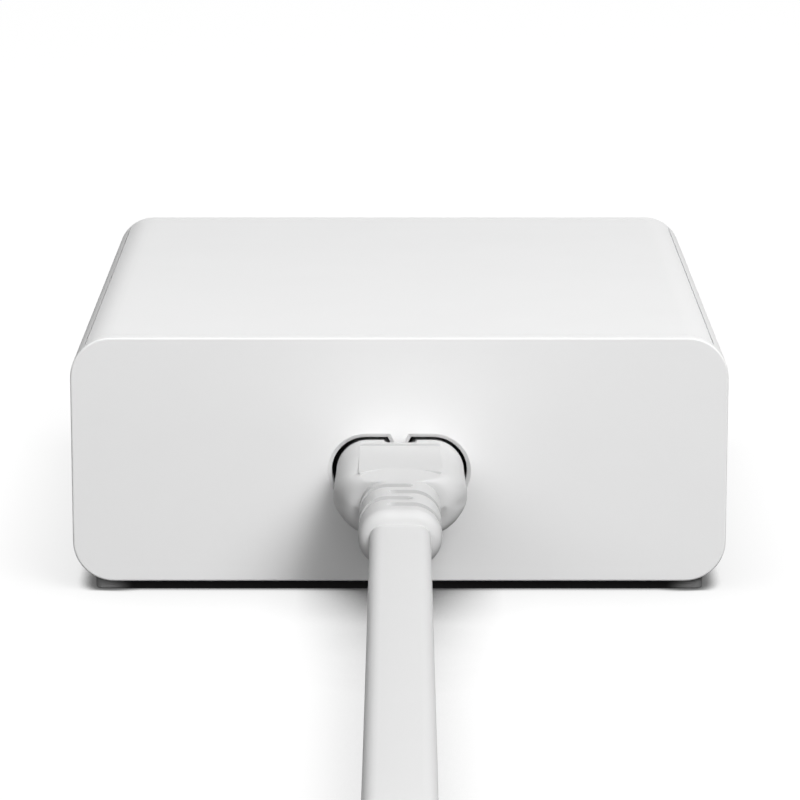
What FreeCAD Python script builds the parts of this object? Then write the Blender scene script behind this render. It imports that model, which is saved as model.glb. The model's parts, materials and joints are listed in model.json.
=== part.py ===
"""Desktop USB charger with several ports, and its detachable flat mains lead.

Millimetres, +Z up. The origin is the middle of the base. The USB ports face +Y, the mains inlet faces -Y.
"""
import FreeCAD
import Part
import math
import os
from FreeCAD import Vector

# Housing
body_width = 83.2
body_depth = 90.65
body_height = 31.7
corner_radius = 5.2
edge_round = 0.26
side_wall = 2.6
rear_wall = 3.2
floor_wall = 2.4
inner_radius = 2.0
seam_gap = 0.14

# Lid and port panel
lid_side_inset = 1.9
lid_end_inset = 2.0
lid_thickness = 2.4
skirt_depth = 3.0
skirt_wall = 1.2
panel_thickness = 2.0
spigot_depth = 2.4
spigot_wall = 1.4
fit_clearance = 0.15
rib_height = 1.2
rib_width = 1.0
rib_count = 4

# Rubber pad under the body
pad_stand = 1.3
pad_side_inset = 2.75
pad_end_inset = 1.1
pad_corner = 1.0
pad_edge = 0.3
pad_boss_inset = 8.0
pad_boss_height = 0.7
pad_clearance = 0.1

# Mains inlet
inlet_height = 14.45
inlet_width = 17.2
inlet_opening = 8.7
inlet_depth = 12.0
inlet_rim = 0.5
inlet_back = 1.8
inlet_jacket = 2.0
tooth_root = 2.94
tooth_tip = 1.8
tooth_depth = 1.15
pin_spacing = 8.6
pin_diameter = 2.4
pin_setback = 2.5
pin_tail_width = 2.0
pin_tail_thickness = 1.0
pin_tail_reach = 1.2

# Circuit boards
board_thickness = 1.6
board_lift = 3.4
board_margin = 1.5
post_diameter = 5.0
stake_diameter = 2.2
stake_head = 0.8
post_inset = 5.0
film_thickness = 0.4
lead_clearance = 0.1
port_board_headroom = 3.0

# USB ports
usb_c_count = 2
usb_a_count = 2
port_pitch = 17.0
port_setback = 0.3
port_length = 14.0
shell_sheet = 0.3
usb_a_width = 13.2
usb_a_height = 5.72
usb_a_corner = 0.6
usb_a_tongue_width = 11.1
usb_a_tongue_thickness = 1.84
usb_a_tongue_drop = 0.35
usb_c_width = 8.94
usb_c_height = 3.16
usb_c_tongue_width = 6.69
usb_c_tongue_thickness = 0.7
tongue_setback = 0.9
port_base_length = 4.5
port_mouth_chamfer = 0.3

# Parts on the main board
row_gap = 1.5
fuse_length = 8.4
fuse_width = 4.0
fuse_height = 7.6
x_capacitor_length = 15.0
x_capacitor_width = 8.5
x_capacitor_height = 14.0
rectifier_length = 14.5
rectifier_thickness = 3.0
rectifier_height = 10.5
choke_diameter = 17.0
choke_hole = 8.0
choke_width = 7.0
choke_wire = 1.2
choke_gap_angle = 50.0
bulk_diameter = 14.0
bulk_height = 17.0
can_bevel = 0.9
can_groove = 0.6
magnetic_depth = 19.0
transformer_width = 24.0
transformer_height = 17.0
boost_width = 20.0
boost_height = 15.0
core_yoke = 3.6
core_limb = 7.0
winding_clearance = 0.3
spreader_thickness = 1.5
spreader_height = 15.0
spreader_foot = 6.0
switch_width = 10.0
switch_height = 12.0
switch_thickness = 3.2
switch_count = 2
switch_spacing = 12.0
output_diameter = 6.8
output_height = 11.0
output_spacing = 10.0
output_count = 4
header_pin = 0.64
header_pitch = 2.54
header_count = 8
header_height = 5.0
header_body = 2.5

# Appliance plug on the lead
plug_clearance = 0.32
plug_nose_gap = 0.6
notch_width = 4.2
notch_root = 1.2
notch_depth = 1.75
notch_reach = 1.3
plug_straight = 8.5
plug_full_width = 13.0
plug_length = 19.0
shoulder_end = 20.5
shoulder_sections = 10
blend_sections = 2
shoulder_crown = 0.55
shoulder_flare = 0.27
least_crown = 0.02
grip_pad_width = 10.3
grip_pad_start = 2.4
grip_pad_end = 15.2
grip_pad_drop = 0.1
relief_width = 9.95
relief_thickness = 7.0
relief_length = 16.3
relief_end_round = 1.2
relief_groove_width = 1.6
relief_groove_depth = 0.9
relief_groove_first = 3.2
relief_groove_pitch = 3.17
relief_groove_count = 4
relief_groove_overlap = 1.45
sleeve_wall = 0.45
sleeve_clearance = 0.05
sleeve_setback = 0.4
sleeve_length = 9.2

# Flat lead, its coil and its tie
cord_width = 7.25
cord_thickness = 3.6
cord_edge_radius = 1.5
cord_rest = 0.05
arc_share = 0.45
loft_step = 9.0
coil_turns = 5
coil_pitch = 3.8
coil_radius = 46.0
tie_width = 9.0
tie_thickness = 0.8

# Wall plug
wall_plug_width = 24.0
wall_plug_thickness = 14.0
wall_plug_length = 22.0
wall_plug_round = 3.0
wall_relief_length = 20.0
wall_neck_length = 9.0
wall_neck_share = 0.8
wall_relief_width = 9.6
wall_relief_thickness = 6.4
blade_spacing = 12.7
blade_width = 6.35
blade_thickness = 1.5
blade_length = 17.5
blade_root = 5.0
blade_hole = 3.1
blade_hole_from_tip = 4.5

# Levels and planes that follow from the sizes above
base_z = pad_stand
top_z = base_z + body_height
floor_z = base_z + floor_wall
rear_y = -body_depth / 2
front_y = body_depth / 2
rear_inner_y = rear_y + rear_wall
panel_back_y = front_y - panel_thickness
inner_half = body_width / 2 - side_wall
lid_half = body_width / 2 - lid_side_inset
lid_rear_y = rear_y + lid_end_inset
lid_seat_z = top_z - lid_thickness
inlet_z = base_z + inlet_height
port_z = base_z + body_height / 2
board_z = floor_z + board_lift
board_top_z = board_z + board_thickness
board_half = inner_half - board_margin
board_rear_y = rear_inner_y + board_margin / 2
port_mouth_y = front_y - port_setback
port_board_front_y = port_mouth_y - port_length
port_board_rear_y = port_board_front_y - board_thickness
board_front_y = port_board_front_y + board_margin
inlet_floor_y = rear_y + inlet_depth
inlet_back_y = inlet_floor_y + inlet_back
relief_start_y = rear_y - plug_length
cord_exit_y = relief_start_y - relief_length
filter_row_y = inlet_back_y + pin_tail_thickness + row_gap + bulk_diameter / 2
output_row_y = port_board_rear_y - header_body - row_gap - output_diameter / 2
magnetic_row_y = output_row_y - output_diameter / 2 - row_gap / 2 - magnetic_depth / 2

# Rows of parts, laid out across X from the main board's left edge
row_start_x = row_gap - board_half
choke_x = row_start_x + choke_diameter / 2 + choke_wire
bulk_1_x = choke_x + choke_diameter / 2 + choke_wire + row_gap + bulk_diameter / 2
bulk_2_x = bulk_1_x + bulk_diameter + row_gap
rectifier_x = bulk_2_x + bulk_diameter / 2 + row_gap + rectifier_thickness / 2
spreader_x = row_start_x + spreader_foot + spreader_thickness / 2
switch_x = spreader_x + spreader_thickness / 2 + switch_thickness / 2
transformer_x = switch_x + switch_thickness / 2 + row_gap + transformer_width / 2
boost_x = transformer_x + transformer_width / 2 + row_gap + boost_width / 2

# Route of the lead: X, distance behind the rear face, and height above the floor
lead_bends = [
    (0.0, 152.0, inlet_z),
    (-11.5, 178.0, 10.0),
    (-26.0, 205.0, cord_width / 2 + cord_rest),
    (-26.0, 230.0, cord_width / 2 + cord_rest),
]
# Last stretch of the lead, from the middle of the coil: X, Y and height above the floor
on_coil_z = cord_width + cord_thickness / 2
wall_plug_z = wall_plug_thickness / 2
tail_bends = [
    (-26.7, -26.7, on_coil_z),
    (-9.8, -36.5, on_coil_z),
    (9.8, -36.5, on_coil_z),
    (26.7, -26.7, on_coil_z),
    (36.5, -9.8, on_coil_z),
    (37.2, 24.0, 11.2),
    (35.6, 46.0, wall_plug_z),
    (35.6, 66.0, wall_plug_z),
]

coil_x = lead_bends[-1][0] + coil_radius
coil_y = rear_y - lead_bends[-1][1]


def box(x_low, x_high, y_low, y_high, z_low, z_high):
    """Box between two corners."""
    return Part.makeBox(x_high - x_low, y_high - y_low, z_high - z_low, Vector(x_low, y_low, z_low))


def centred_box(width, depth, height, x, y, z_low):
    """Box that stands on z_low, centred on x and y."""
    return box(x - width / 2, x + width / 2, y - depth / 2, y + depth / 2, z_low, z_low + height)


def straight_edges(shape, direction):
    """Straight edges that run along a direction."""
    found = []
    for edge in shape.Edges:
        if edge.Curve.TypeId != "Part::GeomLine":
            continue
        if edge.tangentAt(edge.FirstParameter).cross(direction).Length < 1e-6:
            found.append(edge)
    return found


def edges_at(shape, axis, level):
    """Edges that lie in the plane where one axis has the given level."""
    found = []
    for edge in shape.Edges:
        bounds = edge.BoundBox
        low = getattr(bounds, axis + "Min")
        high = getattr(bounds, axis + "Max")
        if abs(low - level) < 1e-4 and abs(high - level) < 1e-4:
            found.append(edge)
    return found


def rounded_bar(width, height, radius, y_low, y_high, z_low):
    """Bar along Y with a rounded rectangular section, centred on X."""
    bar = box(-width / 2, width / 2, y_low, y_high, z_low, z_low + height)
    return bar.makeFillet(radius, straight_edges(bar, Vector(0, 1, 0)))


def rounded_plate(width, y_low, y_high, z_low, z_high, radius):
    """Plate with rounded corners in plan, centred on X."""
    plate = box(-width / 2, width / 2, y_low, y_high, z_low, z_high)
    return plate.makeFillet(radius, straight_edges(plate, Vector(0, 0, 1)))


def obround_wire(width, height, x, y, z):
    """Outline with round ends in the plane that faces Y."""
    radius = height / 2
    flat = width / 2 - radius
    top_left = Vector(x - flat, y, z + radius)
    top_right = Vector(x + flat, y, z + radius)
    bottom_right = Vector(x + flat, y, z - radius)
    bottom_left = Vector(x - flat, y, z - radius)
    return Part.Wire([
        Part.LineSegment(top_left, top_right).toShape(),
        Part.Arc(top_right, Vector(x + width / 2, y, z), bottom_right).toShape(),
        Part.LineSegment(bottom_right, bottom_left).toShape(),
        Part.Arc(bottom_left, Vector(x - width / 2, y, z), top_left).toShape(),
    ])


def obround_bar(width, height, y_low, y_high, x, z):
    """Bar along Y with round ends to its section."""
    return Part.Face(obround_wire(width, height, x, y_low, z)).extrude(Vector(0, y_high - y_low, 0))


def wedge_bar(root, tip, depth, y_low, y_high, z_root, up):
    """Bar along Y with a trapezoid section: its root lies at z_root, its tip lies depth away."""
    sign = 1 if up else -1
    corners = [
        Vector(-root / 2, y_low, z_root),
        Vector(root / 2, y_low, z_root),
        Vector(tip / 2, y_low, z_root + sign * depth),
        Vector(-tip / 2, y_low, z_root + sign * depth),
    ]
    face = Part.Face(Part.makePolygon(corners + corners[:1]))
    return face.extrude(Vector(0, y_high - y_low, 0))


def inlet_wire(grow, y):
    """Figure-8 outline of the inlet, offset outward by grow: round ends, and a tooth on each long side."""
    slant = math.atan((tooth_root - tooth_tip) / 2 / tooth_depth)
    shrink = 2 * grow * (1 / math.cos(slant) - math.tan(slant))
    root = (tooth_root - shrink) / 2
    tip = (tooth_tip - shrink) / 2
    radius = inlet_opening / 2 + grow
    flat = inlet_width / 2 - inlet_opening / 2
    edges = []
    for sign in (1, -1):
        line = [(-flat, radius), (-root, radius), (-tip, radius - tooth_depth),
                (tip, radius - tooth_depth), (root, radius), (flat, radius)]
        points = [Vector(sign * x, y, inlet_z + sign * z) for x, z in line]
        edges += [Part.LineSegment(a, b).toShape() for a, b in zip(points, points[1:])]
        edges.append(Part.Arc(points[-1], Vector(sign * (flat + radius), y, inlet_z),
                              Vector(sign * flat, y, inlet_z - sign * radius)).toShape())
    return Part.Wire(edges)


def inlet_hollow(y_low, y_high):
    """Figure-8 space of the inlet between two planes across Y."""
    return Part.Face(inlet_wire(0, y_low)).extrude(Vector(0, y_high - y_low, 0))


def board_posts():
    """Places of the four posts that carry the main board."""
    x = board_half - post_inset
    rows = (board_rear_y + post_inset, board_front_y - post_inset)
    return [(side * x, y) for side in (-1, 1) for y in rows]


def body_skin(y_low, y_high):
    """Outer form of the body between two planes across Y."""
    return rounded_bar(body_width, body_height, corner_radius, y_low, y_high, base_z)


def pad_boss(clearance):
    """Middle of the pad, which locates it in the underside of the body."""
    inset = pad_side_inset + pad_boss_inset - clearance
    reach = body_depth / 2 - pad_end_inset - pad_boss_inset + clearance
    return rounded_plate(body_width - 2 * inset, -reach, reach, base_z, base_z + pad_boss_height, pad_corner)


def housing_tub():
    """Bottom, side walls and rear wall in one moulding, open at the top and the front."""
    tub_front_y = panel_back_y - seam_gap
    tub = body_skin(rear_y, tub_front_y)
    tub = tub.makeFillet(edge_round, edges_at(tub, "Y", rear_y))
    hollow = rounded_bar(2 * inner_half, body_height, inner_radius, rear_inner_y, front_y, floor_z)
    lid_space = box(-lid_half - seam_gap, lid_half + seam_gap, lid_rear_y - seam_gap, front_y,
                    lid_seat_z, top_z + lid_thickness)
    tub = tub.cut(hollow).cut(lid_space)
    tub = tub.cut(inlet_hollow(rear_y, rear_inner_y))
    rim = Part.makeLoft([inlet_wire(inlet_rim, rear_y), inlet_wire(0, rear_y + inlet_rim)], True, True)
    tub = tub.cut(rim).cut(pad_boss(pad_clearance))
    for x, y in board_posts():
        post = Part.makeCylinder(post_diameter / 2, board_lift, Vector(x, y, floor_z))
        stake = Part.makeCylinder(stake_diameter / 2, board_thickness + stake_head, Vector(x, y, board_z))
        tub = tub.fuse([post, stake])
    rib_span = board_front_y - board_rear_y - 4 * post_inset
    for index in range(rib_count):
        y = board_rear_y + 2 * post_inset + rib_span * index / (rib_count - 1)
        tub = tub.fuse(box(-inner_half, inner_half, y - rib_width / 2, y + rib_width / 2,
                           floor_z, floor_z + rib_height))
    return tub.removeSplitter()


def top_lid():
    """Inset top with the upper part of the corner arcs, and a skirt that slips inside the walls."""
    lid_front_y = panel_back_y - seam_gap
    lid = body_skin(lid_rear_y, lid_front_y)
    lid = lid.common(box(-lid_half, lid_half, lid_rear_y, lid_front_y, lid_seat_z, top_z))
    skirt_half = inner_half - fit_clearance
    skirt_rear_y = rear_inner_y + fit_clearance
    skirt_front_y = panel_back_y - spigot_depth - fit_clearance
    skirt = box(-skirt_half, skirt_half, skirt_rear_y, skirt_front_y, lid_seat_z - skirt_depth, lid_seat_z)
    skirt = skirt.cut(box(-skirt_half + skirt_wall, skirt_half - skirt_wall, skirt_rear_y + skirt_wall,
                          skirt_front_y - skirt_wall, lid_seat_z - skirt_depth, lid_seat_z))
    lid = lid.fuse(skirt)
    rib_half = skirt_half - skirt_wall
    rib_span = skirt_front_y - skirt_rear_y
    for index in range(1, rib_count):
        y = skirt_rear_y + rib_span * index / rib_count
        lid = lid.fuse(box(-rib_half, rib_half, y - rib_width / 2, y + rib_width / 2,
                           lid_seat_z - rib_height, lid_seat_z))
    return lid.removeSplitter()


def port_places():
    """Middle of each port across X, USB-C ports first."""
    count = usb_c_count + usb_a_count
    return [(index - (count - 1) / 2) * port_pitch for index in range(count)]


def port_panel():
    """Front face with the port mouths, and a spigot that locates it in the tub."""
    panel = body_skin(panel_back_y, front_y)
    panel = panel.makeFillet(edge_round, edges_at(panel, "Y", front_y))
    half = inner_half - fit_clearance
    spigot_low = floor_z + fit_clearance
    spigot_high = lid_seat_z - fit_clearance
    spigot = rounded_bar(2 * half, spigot_high - spigot_low, inner_radius,
                         panel_back_y - spigot_depth, panel_back_y, spigot_low)
    spigot = spigot.cut(box(-half + spigot_wall, half - spigot_wall,
                            panel_back_y - spigot_depth, panel_back_y,
                            spigot_low + spigot_wall, spigot_high - spigot_wall))
    panel = panel.fuse(spigot)
    for index, x in enumerate(port_places()):
        if index < usb_c_count:
            width, height = usb_c_width, usb_c_height
        else:
            width, height = usb_a_width, usb_a_height
        width += 2 * fit_clearance
        height += 2 * fit_clearance
        grow = 2 * port_mouth_chamfer
        if index < usb_c_count:
            mouth = obround_bar(width, height, panel_back_y, front_y, x, port_z)
            flare = [obround_wire(width, height, x, front_y - port_mouth_chamfer, port_z),
                     obround_wire(width + grow, height + grow, x, front_y, port_z)]
        else:
            mouth = rounded_bar(width, height, usb_a_corner, panel_back_y, front_y, port_z - height / 2)
            mouth.translate(Vector(x, 0, 0))
            flare = [rectangle_wire(width, height, x, front_y - port_mouth_chamfer, port_z),
                     rectangle_wire(width + grow, height + grow, x, front_y, port_z)]
        panel = panel.cut(mouth).cut(Part.makeLoft(flare, True, True))
    return panel.removeSplitter()


def rectangle_wire(width, height, x, y, z):
    """Rectangle in the plane that faces Y."""
    corners = [
        Vector(x - width / 2, y, z - height / 2),
        Vector(x + width / 2, y, z - height / 2),
        Vector(x + width / 2, y, z + height / 2),
        Vector(x - width / 2, y, z + height / 2),
    ]
    return Part.makePolygon(corners + corners[:1])


def base_pad():
    """Rubber pad that the body stands on."""
    reach = body_depth / 2 - pad_end_inset
    pad = rounded_plate(body_width - 2 * pad_side_inset, -reach, reach, 0, pad_stand, pad_corner)
    pad = pad.makeFillet(pad_edge, edges_at(pad, "Z", 0))
    return pad.fuse(pad_boss(0)).removeSplitter()


def inlet_block():
    """Insulator of the inlet: it continues the opening of the rear wall and holds the pins."""
    half = inlet_width / 2 + inlet_jacket
    top = inlet_z + inlet_opening / 2 + inlet_jacket
    block = box(-half, half, rear_inner_y, inlet_back_y, board_top_z, top)
    block = block.cut(inlet_hollow(rear_inner_y, inlet_floor_y))
    for side in (-1, 1):
        block = block.cut(pin_bar(side, pin_diameter, inlet_floor_y, inlet_back_y))
    return block


def pin_bar(side, diameter, y_low, y_high):
    """Round bar on the axis of one inlet pin."""
    start = Vector(side * pin_spacing / 2, y_low, inlet_z)
    return Part.makeCylinder(diameter / 2, y_high - y_low, start, Vector(0, 1, 0))


def inlet_pin(side):
    """Round pin with a bevelled tip, and a flat tail down through the board."""
    tip_y = rear_y + pin_setback
    end_y = inlet_back_y + pin_tail_thickness
    pin = pin_bar(side, pin_diameter, tip_y, end_y)
    pin = pin.makeChamfer(pin_diameter / 4, edges_at(pin, "Y", tip_y))
    x = side * pin_spacing / 2
    tail = box(x - pin_tail_width / 2, x + pin_tail_width / 2, inlet_back_y, end_y,
               board_z - pin_tail_reach, inlet_z)
    return pin.fuse(tail).removeSplitter()


def main_board():
    """Main circuit board on the tub's posts, with holes for the stakes, inlet tails and header pins."""
    board = box(-board_half, board_half, board_rear_y, board_front_y, board_z, board_top_z)
    for x, y in board_posts():
        board = board.cut(Part.makeCylinder(stake_diameter / 2, board_thickness, Vector(x, y, board_z)))
    for side in (-1, 1):
        x = side * pin_spacing / 2
        reach = pin_tail_width / 2 + lead_clearance
        board = board.cut(box(x - reach, x + reach, inlet_back_y - lead_clearance,
                              inlet_back_y + pin_tail_thickness + lead_clearance, board_z, board_top_z))
    return board


def port_board():
    """Upright board behind the ports, standing on the main board."""
    top = lid_seat_z - port_board_headroom
    half = inner_half - spigot_wall - fit_clearance - board_margin
    return box(-half, half, port_board_rear_y, port_board_front_y, board_top_z, top)


def board_header():
    """Row of square pins that joins the two boards, in one moulded strip."""
    length = header_count * header_pitch
    strip = box(-length / 2, length / 2, port_board_rear_y - header_body, port_board_rear_y,
                board_top_z, board_top_z + header_body)
    for index in range(header_count):
        x = (index - (header_count - 1) / 2) * header_pitch
        y = port_board_rear_y - header_body / 2
        strip = strip.fuse(centred_box(header_pin, header_pin, header_height, x, y, board_top_z))
    return strip.removeSplitter()


def insulating_film():
    """Film on the tub's ribs, under the main board, with holes for the posts."""
    z = floor_z + rib_height
    film = box(-board_half, board_half, board_rear_y, board_front_y, z, z + film_thickness)
    for x, y in board_posts():
        film = film.cut(Part.makeCylinder(post_diameter / 2 + fit_clearance, film_thickness, Vector(x, y, z)))
    return film


def usb_a_shell(x):
    """Folded sheet shell of a USB-A port."""
    low = port_z - usb_a_height / 2
    shell = rounded_bar(usb_a_width, usb_a_height, usb_a_corner, port_board_front_y, port_mouth_y, low)
    inside = rounded_bar(usb_a_width - 2 * shell_sheet, usb_a_height - 2 * shell_sheet,
                         usb_a_corner - shell_sheet, port_board_front_y, port_mouth_y, low + shell_sheet)
    shell = shell.cut(inside)
    shell.translate(Vector(x, 0, 0))
    return shell


def usb_a_tongue(x):
    """Insulator of a USB-A port: a base that fills the shell's back, and the contact tongue."""
    low = port_z - usb_a_height / 2 + shell_sheet
    high = low + usb_a_height - 2 * shell_sheet
    base_end = port_board_front_y + port_base_length
    base = rounded_bar(usb_a_width - 2 * shell_sheet, high - low, usb_a_corner - shell_sheet,
                       port_board_front_y, base_end, low)
    tongue_top = high - usb_a_tongue_drop
    tongue = box(-usb_a_tongue_width / 2, usb_a_tongue_width / 2, port_board_front_y,
                 port_mouth_y - tongue_setback, tongue_top - usb_a_tongue_thickness, tongue_top)
    insulator = base.fuse(tongue).removeSplitter()
    insulator.translate(Vector(x, 0, 0))
    return insulator


def usb_c_shell(x):
    """Drawn sheet shell of a USB-C port."""
    shell = obround_bar(usb_c_width, usb_c_height, port_board_front_y, port_mouth_y, x, port_z)
    return shell.cut(obround_bar(usb_c_width - 2 * shell_sheet, usb_c_height - 2 * shell_sheet,
                                 port_board_front_y, port_mouth_y, x, port_z))


def usb_c_tongue(x):
    """Insulator of a USB-C port: a base that fills the shell's back, and the middle tongue."""
    base_end = port_board_front_y + port_base_length
    base = obround_bar(usb_c_width - 2 * shell_sheet, usb_c_height - 2 * shell_sheet,
                       port_board_front_y, base_end, x, port_z)
    half = usb_c_tongue_width / 2
    tongue = box(x - half, x + half, port_board_front_y, port_mouth_y - tongue_setback,
                 port_z - usb_c_tongue_thickness / 2, port_z + usb_c_tongue_thickness / 2)
    return base.fuse(tongue).removeSplitter()


def can(diameter, height, x, y):
    """Round capacitor on the main board, with a bevelled top and a crimp groove near its foot."""
    radius = diameter / 2
    outline = [
        Vector(0, 0, 0),
        Vector(radius, 0, 0),
        Vector(radius, 0, 2 * can_groove),
        Vector(radius - can_groove, 0, 3 * can_groove),
        Vector(radius, 0, 4 * can_groove),
        Vector(radius, 0, height - can_bevel),
        Vector(radius - can_bevel, 0, height),
        Vector(0, 0, height),
    ]
    body = Part.Face(Part.makePolygon(outline + outline[:1])).revolve(Vector(), Vector(0, 0, 1), 360)
    body.translate(Vector(x, y, board_top_z))
    return body


def fuse_block():
    """Boxed fuse beside the inlet."""
    x = -inlet_width / 2 - inlet_jacket - row_gap - fuse_length / 2
    y = inlet_back_y - fuse_width / 2
    block = centred_box(fuse_length, fuse_width, fuse_height, x, y, board_top_z)
    return block.makeChamfer(can_bevel, straight_edges(block, Vector(0, 0, 1)))


def x_capacitor():
    """Boxed film capacitor beside the inlet."""
    x = inlet_width / 2 + inlet_jacket + row_gap + x_capacitor_length / 2
    y = inlet_back_y - x_capacitor_width / 2
    block = centred_box(x_capacitor_length, x_capacitor_width, x_capacitor_height, x, y, board_top_z)
    return block.makeChamfer(can_groove, edges_at(block, "Z", board_top_z + x_capacitor_height))


def bridge_rectifier():
    """Flat upright rectifier at the right end of the filter row, with one bevelled corner."""
    block = centred_box(rectifier_thickness, rectifier_length, rectifier_height,
                        rectifier_x, filter_row_y, board_top_z)
    corner = [edge for edge in straight_edges(block, Vector(1, 0, 0))
              if edge.CenterOfMass.y > filter_row_y and edge.CenterOfMass.z > board_top_z]
    return block.makeChamfer(rectifier_thickness, corner)


def ring(outer, inner, width, centre):
    """Ring about an axis along Y, its middle at the centre."""
    start = centre - Vector(0, width / 2, 0)
    along = Vector(0, 1, 0)
    return Part.makeCylinder(outer, width, start, along).cut(Part.makeCylinder(inner, width, start, along))


def choke_centre():
    """Middle of the filter choke."""
    return Vector(choke_x, filter_row_y, board_top_z + choke_diameter / 2 + choke_wire)


def choke_core():
    """Ferrite ring of the filter choke."""
    return ring(choke_diameter / 2, choke_hole / 2, choke_width, choke_centre())


def choke_winding():
    """Two windings on the choke's ring, apart at the top and the bottom."""
    centre = choke_centre()
    outer = choke_diameter / 2 + choke_wire
    sleeve = ring(outer, choke_hole / 2 - choke_wire, choke_width + 2 * choke_wire, centre)
    sleeve = sleeve.cut(choke_core())
    open_half = outer * math.tan(math.radians(choke_gap_angle / 2)) / 2
    depth = choke_width / 2 + choke_wire
    sleeve = sleeve.cut(box(centre.x - open_half, centre.x + open_half, centre.y - depth, centre.y + depth,
                            centre.z - outer, centre.z + outer))
    foot = centred_box(2 * open_half, choke_width, choke_wire, centre.x, centre.y, board_top_z)
    return Part.makeCompound(sleeve.Solids + [foot])


def shell_core(width, height, x, y):
    """Two-part ferrite core: yokes at front and back, side limbs and a round middle limb."""
    block = centred_box(width, magnetic_depth, height, x, y, board_top_z)
    inside = magnetic_depth - 2 * core_yoke
    window = centred_box(width - 2 * core_yoke, inside, height, x, y, board_top_z)
    limb = Part.makeCylinder(core_limb / 2, inside, Vector(x, y - inside / 2, board_top_z + height / 2),
                             Vector(0, 1, 0))
    return block.cut(window).fuse(limb).removeSplitter()


def core_winding(width, height, x, y):
    """Winding that fills a core's window, round its middle limb."""
    inside = magnetic_depth - 2 * core_yoke - 2 * winding_clearance
    block = centred_box(width - 2 * core_yoke - 2 * winding_clearance, inside, height, x, y, board_top_z)
    block = block.makeFillet(core_yoke, straight_edges(block, Vector(0, 1, 0)))
    hole = Part.makeCylinder(core_limb / 2 + winding_clearance / 2, inside,
                             Vector(x, y - inside / 2, board_top_z + height / 2), Vector(0, 1, 0))
    return block.cut(hole)


def spreader_ends():
    """Ends of the heat spreader along Y: it runs beside the magnetic row and the output row."""
    return magnetic_row_y - magnetic_depth / 2, output_row_y + output_diameter / 2


def heat_spreader():
    """Bent plate along the board's left edge, with a foot on the board."""
    y_low, y_high = spreader_ends()
    upright = box(spreader_x - spreader_thickness / 2, spreader_x + spreader_thickness / 2, y_low, y_high,
                  board_top_z, board_top_z + spreader_height)
    foot = box(row_start_x, spreader_x, magnetic_row_y - magnetic_depth / 4,
               magnetic_row_y + magnetic_depth / 4, board_top_z, board_top_z + spreader_thickness)
    return upright.fuse(foot).removeSplitter()


def power_switches():
    """Flat power transistors clamped on the heat spreader."""
    middle_y = sum(spreader_ends()) / 2
    solids = []
    for index in range(switch_count):
        y = middle_y + (index - (switch_count - 1) / 2) * switch_spacing
        solids.append(centred_box(switch_thickness, switch_width, switch_height, switch_x, y, board_top_z))
    return Part.makeCompound(solids)


def output_capacitors():
    """Row of small cans behind the port board, clear of the header."""
    first = -(output_count - 1) / 2 * output_spacing
    places = [first + index * output_spacing for index in range(output_count)]
    return Part.makeCompound([can(output_diameter, output_height, x, output_row_y) for x in places])


def shoulder_wire(y_behind):
    """Crowned section of the appliance plug behind its straight part, on the way to the strain relief."""
    share = (y_behind - plug_straight) / (shoulder_end - plug_straight)
    swell = math.sin(math.pi * share)
    fall = min(1.0, max(0.0, (y_behind - plug_full_width) / (plug_length - plug_full_width)))
    half_width = (relief_width + (plug_width() - relief_width) * math.sqrt(1 - fall * fall)) / 2
    blend = max(0.0, (y_behind - plug_full_width) / (shoulder_end - plug_full_width))
    drop = blend * blend * (3 - 2 * blend)
    half_height = (plug_height() + (relief_thickness - plug_height()) * drop) / 2
    side_height = half_height - max(least_crown, shoulder_crown * swell)
    flat = half_width - half_height * (1 - shoulder_flare * swell)
    y = rear_y - y_behind
    corners = [Vector(a * flat, y, inlet_z + b * side_height)
               for a, b in ((-1, 1), (1, 1), (1, -1), (-1, -1))]
    middles = [Vector(a * half_width, y, inlet_z + b * half_height)
               for a, b in ((0, 1), (1, 0), (0, -1), (-1, 0))]
    ends = corners[1:] + corners[:1]
    return Part.Wire([Part.Arc(a, m, b).toShape() for a, m, b in zip(corners, middles, ends)])


def plug_width():
    """Width of the appliance plug, which slips into the inlet."""
    return inlet_width - 2 * plug_clearance


def plug_height():
    """Height of the appliance plug, which slips into the inlet."""
    return inlet_opening - 2 * plug_clearance


def appliance_plug():
    """Moulded plug with its notches, grip pads, domed shoulder and grooved strain relief."""
    nose_y = inlet_floor_y - plug_nose_gap
    plug = obround_bar(plug_width(), plug_height(), rear_y - plug_straight, nose_y, 0, inlet_z)
    steps = [plug_straight + (plug_length - plug_straight) * math.sin(math.pi / 2 * index / shoulder_sections)
             for index in range(shoulder_sections + 1)]
    steps += [plug_length + (shoulder_end - plug_length) * (index + 1) / blend_sections
              for index in range(blend_sections)]
    shoulder = Part.makeLoft([shoulder_wire(step) for step in steps], True, True)
    relief = obround_bar(relief_width, relief_thickness, cord_exit_y, rear_y - shoulder_end, 0, inlet_z)
    relief = relief.makeFillet(relief_end_round, edges_at(relief, "Y", cord_exit_y))
    for index in range(relief_groove_count):
        relief = relief.cut(relief_groove(index))
    pad_half = plug_height() / 2 - grip_pad_drop
    pad = grip_pad(plug_straight, -pad_half, pad_half)
    plug = plug.fuse([shoulder, relief, pad])
    plug = plug.cut(grip_pad(grip_pad_start, pad_half, plug_height()))
    plug = plug.cut(grip_pad(grip_pad_start, -plug_height(), -pad_half))
    for up in (False, True):
        root_z = inlet_z + (-1 if up else 1) * plug_height() / 2
        plug = plug.cut(wedge_bar(notch_width, notch_root, notch_depth, rear_y - notch_reach, nose_y,
                                  root_z, up))
    for side in (-1, 1):
        seat_y = nose_y - sleeve_setback - sleeve_length
        plug = plug.cut(pin_bar(side, sleeve_outer(), seat_y, nose_y))
    return plug.removeSplitter()


def grip_pad(start, low, high):
    """Box as wide as the plug's grip pads, from a distance behind the rear face to the pads' end."""
    return box(-grip_pad_width / 2, grip_pad_width / 2, rear_y - grip_pad_end, rear_y - start,
               inlet_z + low, inlet_z + high)


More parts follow.
